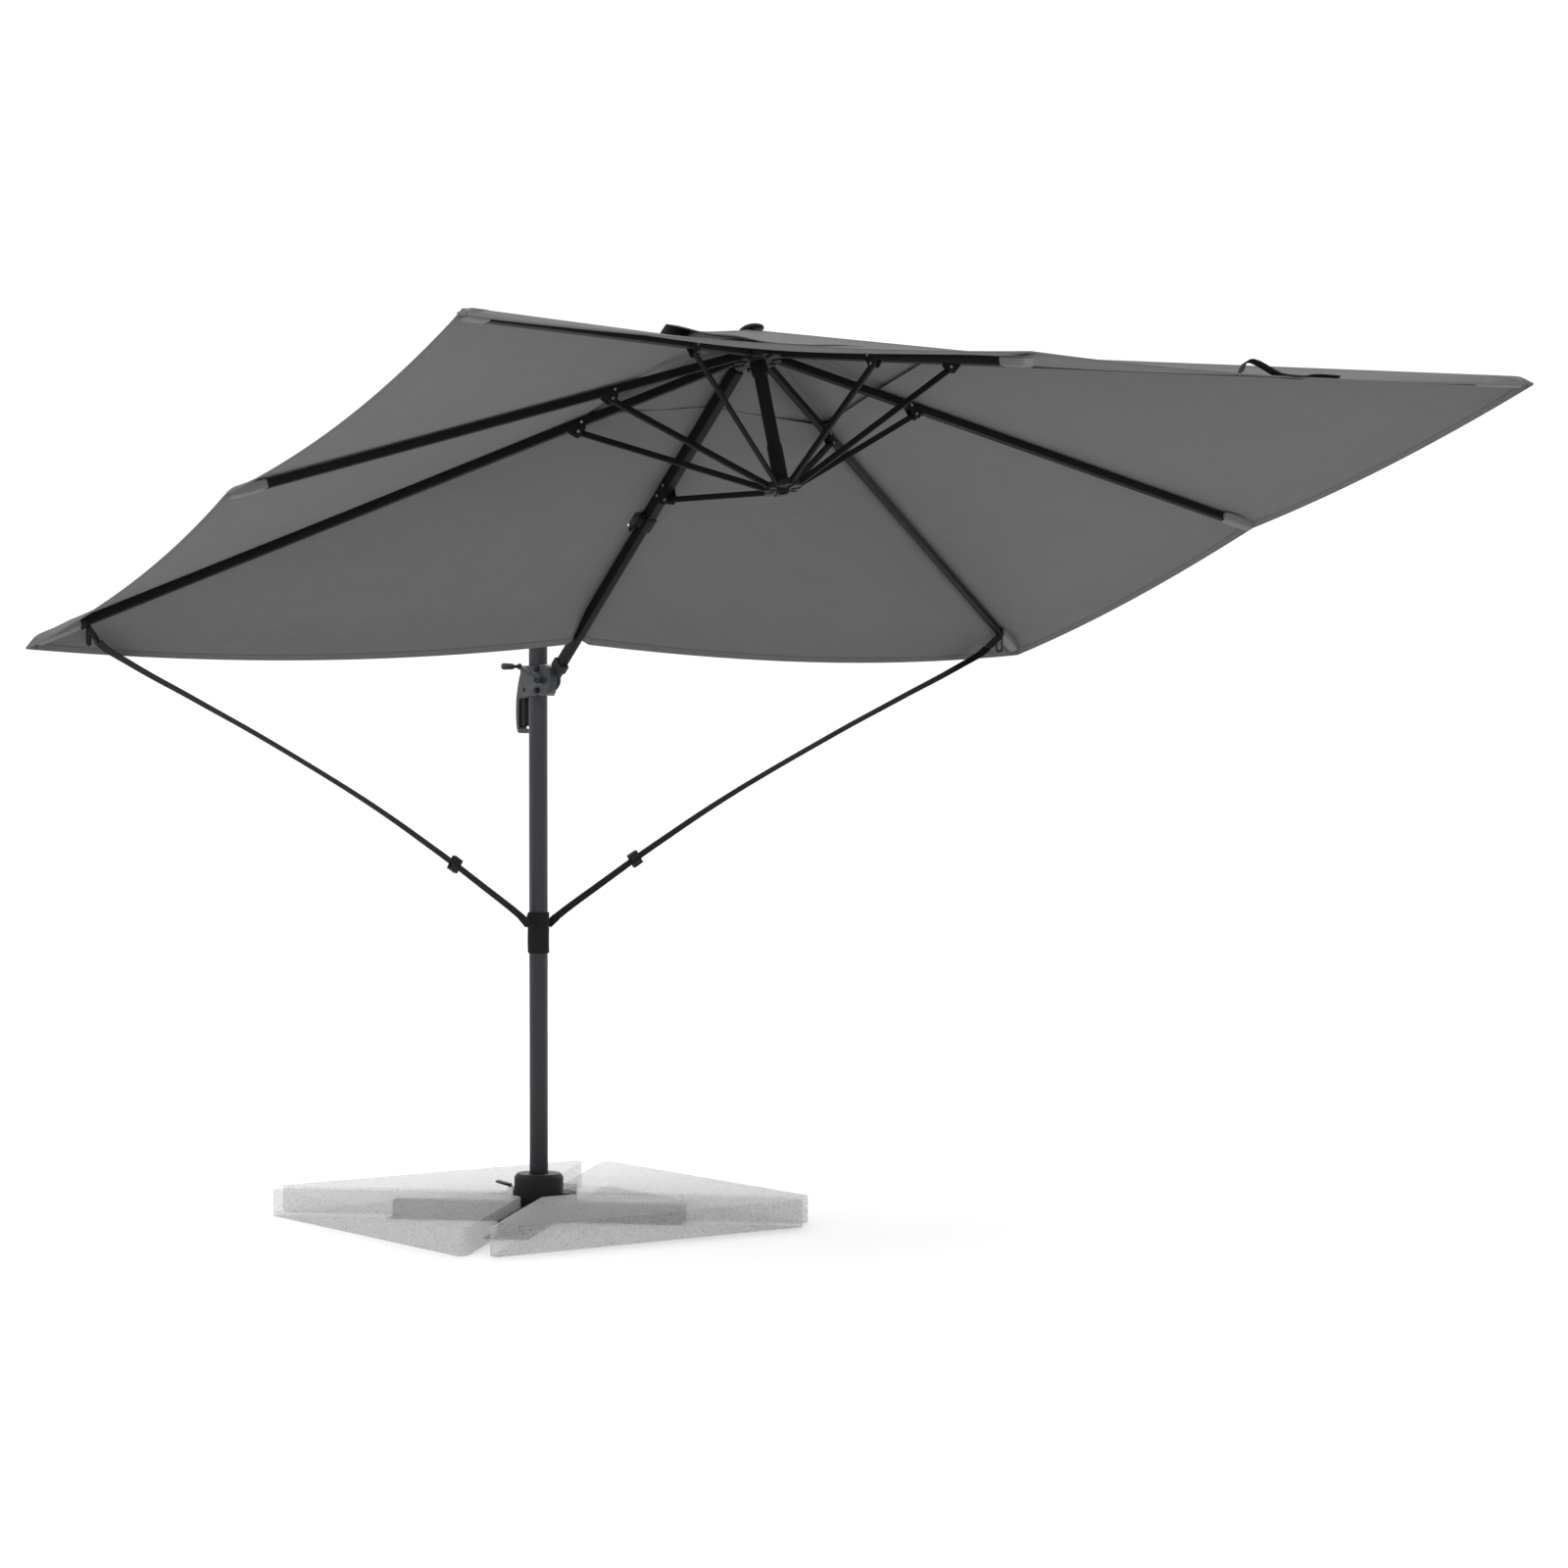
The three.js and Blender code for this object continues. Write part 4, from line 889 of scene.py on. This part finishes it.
def cap_ripple(panel, s, t):
    """Small waves along the cap's hem, and one corner that the wind has lifted."""
    wave = 0.002 * math.sin(2 * math.pi * (s * 2.0 + 0.2 * panel)) + 0.0015 * math.sin(2 * math.pi * s * 3 + panel)
    beyond = {7: s, 6: (1 - s) * 3}.get(panel, 9.0)
    lifted = 0.024 * max(0.0, 1 - beyond / 0.8) ** 1.4 * t**5
    return wave * t * t * min(1.0, 6 * s * (1 - s)) + lifted


canopy_strips = []


def lay_strips(prefix, cloth, row_count, half_columns, single, double, ripple=None):
    """One strip for each seam, with the thickness of single cloth and of the doubled hem."""
    for index, body in enumerate(SEAM_BODIES):
        rows = row_shares(SEAMS[index][2] * cloth["run"], row_count)
        strip, area = strip_of_cloth(f"{prefix}_{body}", cloth, index, rows, half_columns, ripple)
        face_up(strip)
        thicken(strip, single, double)
        smooth(strip, 40)
        finish_piece(strip, body, canvas)
        canopy_strips.append((strip, index, area))


lay_strips("canopy", MAIN_CLOTH, 26, 14, 0.0018, 0.0036)
lay_strips("vent_cap", VENT_CAP, 9, 8, 0.0016, 0.003, cap_ripple)
print("strips of cloth:", len(canopy_strips))

# %% [markdown]
# The link rises to the mast through a slit in the rear panel. A box the size of the slit is taken out of the cloth
# with a Boolean modifier.

# %% The slit for the link
SLIT_PLACE = (0.580, -0.0295, 0.0187)  # along the arm, aside and above it
SLIT_SIZE = (0.050, 0.0145, 0.08)
SIDE = Vector((0, 1, 0))

arm_pivot = Vector(joints["arm_tilt"]["pos_m"])
arm_direction = (pin - arm_pivot).normalized()
arm_up = Vector((-arm_direction.z, 0, arm_direction.x))


def on_arm(x, y, z):
    return arm_pivot + arm_direction * x + SIDE * y + arm_up * z


rear_strip = canopy_strips[ARM_SEAM][0]
bpy.ops.mesh.primitive_cube_add(size=1, location=on_arm(*SLIT_PLACE))
slit_tool = bpy.context.object
slit_tool.scale = SLIT_SIZE
slit_tool.rotation_euler = (0, -math.atan2(arm_direction.z, arm_direction.x), 0)
apply_place(slit_tool)
press_modifier(rear_strip, "BOOLEAN", operation="DIFFERENCE", object=slit_tool, solver="EXACT")
bpy.data.objects.remove(slit_tool)
smooth(rear_strip, 40)
print("slit cut in", rear_strip.name)

# %% [markdown]
# Each strip now gets its own copy of its mesh, the frame's own canopy and vent cap are hidden, and the cloth's area is
# printed.

# %% The strips' own meshes
for strip, index, area in canopy_strips:
    fold_in(strip)
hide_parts("canopy")
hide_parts("vent_cap")
print("cloth area:", round(sum(area for _, _, area in canopy_strips), 2), "m2")

# %% [markdown]
# ## Rib ends and rivets
# A rib's direction follows from its hinge and from the pin of its strut. From these two points come the places of
# its pocket at the tip and of the rivets in its bracket.

# %% A rib's own axes
STRUT_PIN_ALONG = 0.418
STRUT_PIN_BELOW = 0.020


def rib_axes(name):
    hinge = Vector(joints[f"rib_hinge_{name}"]["pos_m"])
    side = Vector(joints[f"rib_hinge_{name}"]["axis"]).normalized()
    strut_pin = Vector(joints[f"strut_hinge_{name}"]["pos_m"])
    offset = math.atan2(STRUT_PIN_BELOW, STRUT_PIN_ALONG)
    toward = (strut_pin - hinge).normalized()
    along = (toward * math.cos(offset) - side.cross(toward) * math.sin(offset)).normalized()
    up = -side.cross(along)
    tip = max((v.co - hinge).dot(along) for v in frame["nodes"][f"rib_{name}"].data.vertices)
    return {"hinge": hinge, "side": side, "along": along, "up": up, "tip": tip}


axes = {name: rib_axes(name) for name in RIB_NAMES}


def rib_matrix(name, distance, rise=0.0):
    a = axes[name]
    turn = Matrix((a["along"], a["side"], a["up"])).transposed().to_4x4()
    return Matrix.Translation(a["hinge"] + a["along"] * distance + a["up"] * rise) @ turn


# %% [markdown]
# The pocket is a patch of cloth sewn under the canopy, which the rib's tip slips into. A cube is lengthened, its lower
# edges are drawn in, its far end is widened in edit mode, and a Subdivision Surface rounds it into cloth.

# %% A cloth pocket at each rib's tip
POCKET_WIDTH = 0.038
POCKET_HEIGHT = 0.0232
CORNER_POCKET, EDGE_POCKET = 0.115, 0.095  # lengths


def make_pocket(name):
    length = CORNER_POCKET if "_" in name else EDGE_POCKET
    bpy.ops.mesh.primitive_cube_add(size=1)
    pocket = bpy.context.object
    pocket.name = f"rib_pocket_{name}"
    pocket.scale = (length, POCKET_WIDTH, POCKET_HEIGHT)
    apply_place(pocket)
    select_faces(pocket, lambda face: face.normal.z < -0.9)
    bpy.ops.transform.resize(value=(1.0, 0.62, 1.0))
    select_faces(pocket, lambda face: face.normal.x > 0.9)
    bpy.ops.transform.resize(value=(1.0, 1.35, 0.55))
    bpy.ops.transform.translate(value=(0, 0, -0.001))
    bpy.ops.mesh.select_all(action="SELECT")
    bpy.ops.mesh.subdivide(number_cuts=2)
    leave_edit()
    press_modifier(pocket, "SUBSURF", levels=2, render_levels=2)
    for vertex in pocket.data.vertices:
        pucker = math.sin(vertex.co.x * 260) * math.cos(vertex.co.y * 190)
        vertex.co.z += 0.0009 * pucker if vertex.co.z < 0 else 0.0
    pocket.matrix_world = rib_matrix(name, axes[name]["tip"] - length / 2 + 0.008, -0.0006)
    apply_place(pocket)
    smooth(pocket, 60)
    return finish_piece(pocket, f"rib_{name}", pocket_cloth)


pockets = [make_pocket(name) for name in RIB_NAMES]
print("pockets:", len(pockets))

# %% [markdown]
# Rivets hold the brackets. One head is modelled: a short cylinder whose outer face is inset and raised in edit mode.
# The rest are copies, each with its own mesh, joined so that a bracket's rivets are one piece.

# %% A rivet head and its copies
def rivet_head(radius=0.0036, height=0.0016):
    bpy.ops.mesh.primitive_cylinder_add(vertices=16, radius=radius, depth=height)
    head = bpy.context.object
    head.location = (0, 0, height / 2)
    apply_place(head)
    select_faces(head, lambda face: face.normal.z > 0.9)
    bpy.ops.mesh.inset(thickness=radius * 0.35)
    bpy.ops.transform.translate(value=(0, 0, height * 0.35))
    leave_edit()
    smooth(head, 50)
    return head


pattern_rivet = rivet_head()


def rivets(name, body, places, material=zinc, size=1.0):
    """places holds (point, outward direction) pairs."""
    heads = []
    for point, outward in places:
        head = add_object(name, pattern_rivet.data.copy())
        head.matrix_world = (
            Matrix.Translation(point) @ outward.to_track_quat("Z", "Y").to_matrix().to_4x4() @ Matrix.Scale(size, 4)
        )
        apply_place(head)
        heads.append(head)
    return finish_piece(join_up(heads, name), body, material)


print("rivet head made")

# %% [markdown]
# Each rib's strut is pinned in a bracket. The pin shows on both cheeks, and a second rivet above it holds the
# bracket to the rib.

# %% Rivets of the ribs' brackets
BRACKET_FACE = 0.0092
RIVET_ALONG, RIVET_BELOW = 0.402, 0.001

for name in RIB_NAMES:
    a = axes[name]
    heads = [
        a["hinge"] + a["along"] * STRUT_PIN_ALONG - a["up"] * STRUT_PIN_BELOW,
        a["hinge"] + a["along"] * RIVET_ALONG - a["up"] * RIVET_BELOW,
    ]
    places = [(head + a["side"] * sign * BRACKET_FACE, a["side"] * sign) for sign in (1, -1) for head in heads]
    rivets(f"bracket_rivets_{name}", f"rib_{name}", places)
print("bracket rivets:", 4 * len(RIB_NAMES))

# %% [markdown]
# The arm has two brackets with flat cheeks: the farther one holds the rear strut's foot, and the nearer one the link.

# %% Rivets of the arm's brackets
CHEEK = 0.0141  # from the arm's middle to a cheek's face
STRUT_RIVETS = ((0.678, 0.0), (0.696, -0.031), (0.715, 0.0))  # along the arm and above it
LINK_RIVETS = ((0.572, 0.004), (0.600, 0.004))

arm_places = [
    (on_arm(x, sign * CHEEK, z), SIDE * sign) for sign in (1, -1) for x, z in (*STRUT_RIVETS, *LINK_RIVETS)
]
rivets("arm_rivets", "arm", arm_places)
print("arm rivets:", len(arm_places))

# %% [markdown]
# ## Carriage details
# The two shells are held by screws in bosses, and the crank's spindle ends in a domed cap. Small things like these
# tell the eye how big the casting is.

# %% Screws and crank cap
RIGHT_FACE, LEFT_FACE = -0.0311, 0.0291
RIGHT_SCREWS = ((0.041, 1.428), (0.038, 1.372))
LEFT_SCREWS = ((0.034, 1.426), (0.034, 1.368), (-0.026, 1.42))

right_places = [(Vector((x, RIGHT_FACE, z)), -SIDE) for x, z in RIGHT_SCREWS]
rivets("carriage_screws", "carriage", right_places, black_plastic, 2.3)
crank_low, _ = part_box("crank_handle")
cap_centre = Vector((arm_pivot.x, crank_low.y, arm_pivot.z))
rivets("crank_cap", "crank", [(cap_centre, -SIDE)], black_plastic, 1.7)
left_places = [(Vector((x, LEFT_FACE, z)), SIDE) for x, z in LEFT_SCREWS]
rivets("carriage_screws_left", "carriage", left_places, zinc, 1.05)
print("carriage screws placed")

# %% [markdown]
# ## The mast's sleeve
# A band of webbing cloth is wrapped round the mast and closed with a hook-and-loop flap. The storm straps are sewn to
# it. A cylinder is subdivided and pushed in and out a little to look wrapped, and the flap is a thin curved patch.

# %% Sleeve and flap
SLEEVE_RADIUS = 0.0270
FLAP_RADIUS = 0.0290
FLAP_START, FLAP_STEP, FLAP_STEPS = 215, 8, 13  # degrees round the mast

sleeve_low, sleeve_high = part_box("strap_sleeve")
sleeve_height = sleeve_high.z - sleeve_low.z
bpy.ops.mesh.primitive_cylinder_add(
    vertices=64, radius=SLEEVE_RADIUS, depth=sleeve_height, end_fill_type="NOTHING",
    location=(0, 0, (sleeve_low.z + sleeve_high.z) / 2),
)
sleeve = bpy.context.object
sleeve.name = "strap_sleeve_wrap"
apply_place(sleeve)
edit_all(sleeve)
bpy.ops.mesh.subdivide(number_cuts=11)
leave_edit()
for vertex in sleeve.data.vertices:
    turn = math.atan2(vertex.co.y, vertex.co.x)
    level = (vertex.co.z - sleeve_low.z) / sleeve_height
    swell = 1 + 0.012 * math.sin(3 * turn + 4 * level) + 0.008 * math.sin(7 * turn - 9 * level)
    vertex.co.x *= swell
    vertex.co.y *= swell
press_modifier(sleeve, "SOLIDIFY", thickness=0.0022, offset=-0.2)
smooth(sleeve, 50)
finish_piece(sleeve, "mast", webbing)
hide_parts("strap_sleeve")

flap_route = []
for k in range(FLAP_STEPS):
    turn = math.radians(FLAP_START + FLAP_STEP * k)
    reach = FLAP_RADIUS + (0.004 if k > FLAP_STEPS - 3 else 0.0)  # the flap's end stands off a little
    flap_route.append(Vector((reach * math.cos(turn), reach * math.sin(turn), sleeve_high.z - 0.022)))
band("strap_sleeve_flap", flap_route, [Vector((0, 0, 1))] * FLAP_STEPS, 0.034, 0.0018, "mast", angle=50)
print("sleeve is", round(sleeve_height, 3), "m high")

# %% [markdown]
# At its foot each strap goes through a short loop sewn to the sleeve. It is a short band of webbing, a little wider
# and thicker than the strap, so that the strap ends inside it.

# %% Sewn loops at the straps' feet
for side, name in SIDES:
    route, sides = strap_runs[name]
    foot = route[0]
    sleeve_point = Vector((0.0, side * 0.0285, foot.z - 0.014))
    loop_route = straight(sleeve_point, foot + (route[3] - foot) * 0.5, 4)
    band(f"sleeve_loop_{name}", loop_route, [sides[0]] * 5, 0.0262, 0.0046, "mast")
print("foot loops made")

# %% [markdown]
# At its top a ring of webbing round the rib holds the hook, and a flat moulded clip runs from under the rib to the
# strap's end. Both ride on the rib, so they stay with it when the canopy closes.

# %% Hangers and clips at the straps' tops
CLIP_ACROSS = (0.59, 0.81)  # the direction of the left clip's width, seen from above

for side, name in SIDES:
    hook_low, hook_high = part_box(f"strap_hook_{name}")
    middle = (hook_low + hook_high) / 2
    rib = axes[f"rear_{name}"]
    top = rib["hinge"] + rib["along"] * (middle - rib["hinge"]).dot(rib["along"])
    ring = []
    for k in range(1, 17):
        turn = 2 * math.pi * k / 16
        ring.append(top + rib["side"] * 0.0098 * math.sin(turn) + rib["up"] * (0.0128 * math.cos(turn) - 0.0018))
    band(f"hook_hanger_{name}", ring, [rib["along"]] * 16, 0.018, 0.0016, f"rib_rear_{name}")
    route = strap_runs[name][0]
    under_rib = Vector((middle.x, middle.y, hook_high.z - 0.003))
    strap_end = route[-1] + (route[-1] - route[-2]).normalized() * 0.001
    clip_side = Vector((CLIP_ACROSS[0], CLIP_ACROSS[1] * side, 0.0))
    band(
        f"strap_clip_{name}", straight(under_rib, strap_end, 5), [clip_side] * 6, 0.019, 0.006, f"rib_rear_{name}",
        black_plastic,
    )
print("hangers and clips made")

# %% [markdown]
# ## Small cloth details
# The tie that holds the closed canopy together lies on top, near the front edge. It is a band that follows the cloth,
# with a hump where it lifts off it.

# %% The canopy's tie
def on_front_panel(s, t, lift):
    place = panel_point(MAIN_CLOTH, 0, s, t)
    return on_hub(place.x, place.y, place.z + lift)


tie_route = []
for k in range(25):
    share = k / 24
    hump = 0.0045 + 0.030 * max(0.0, math.sin(math.pi * min(1.0, share * 2.6))) ** 1.5
    curl = 0.985 - 0.015 * math.sin(3 * math.pi * share)
    tie_route.append(on_front_panel(0.42 + 0.20 * share, curl, hump + 0.002 * math.sin(9 * share)))
tie = band("canopy_tie", tie_route, [hub_ahead] * len(tie_route), 0.022, 0.0022, "rib_front_left", angle=50)
fold_in(tie)
print("tie is", round(run_length(tie_route), 3), "m long")

# %% Finish
bpy.data.objects.remove(pattern_rivet)
bpy.context.view_layer.update()
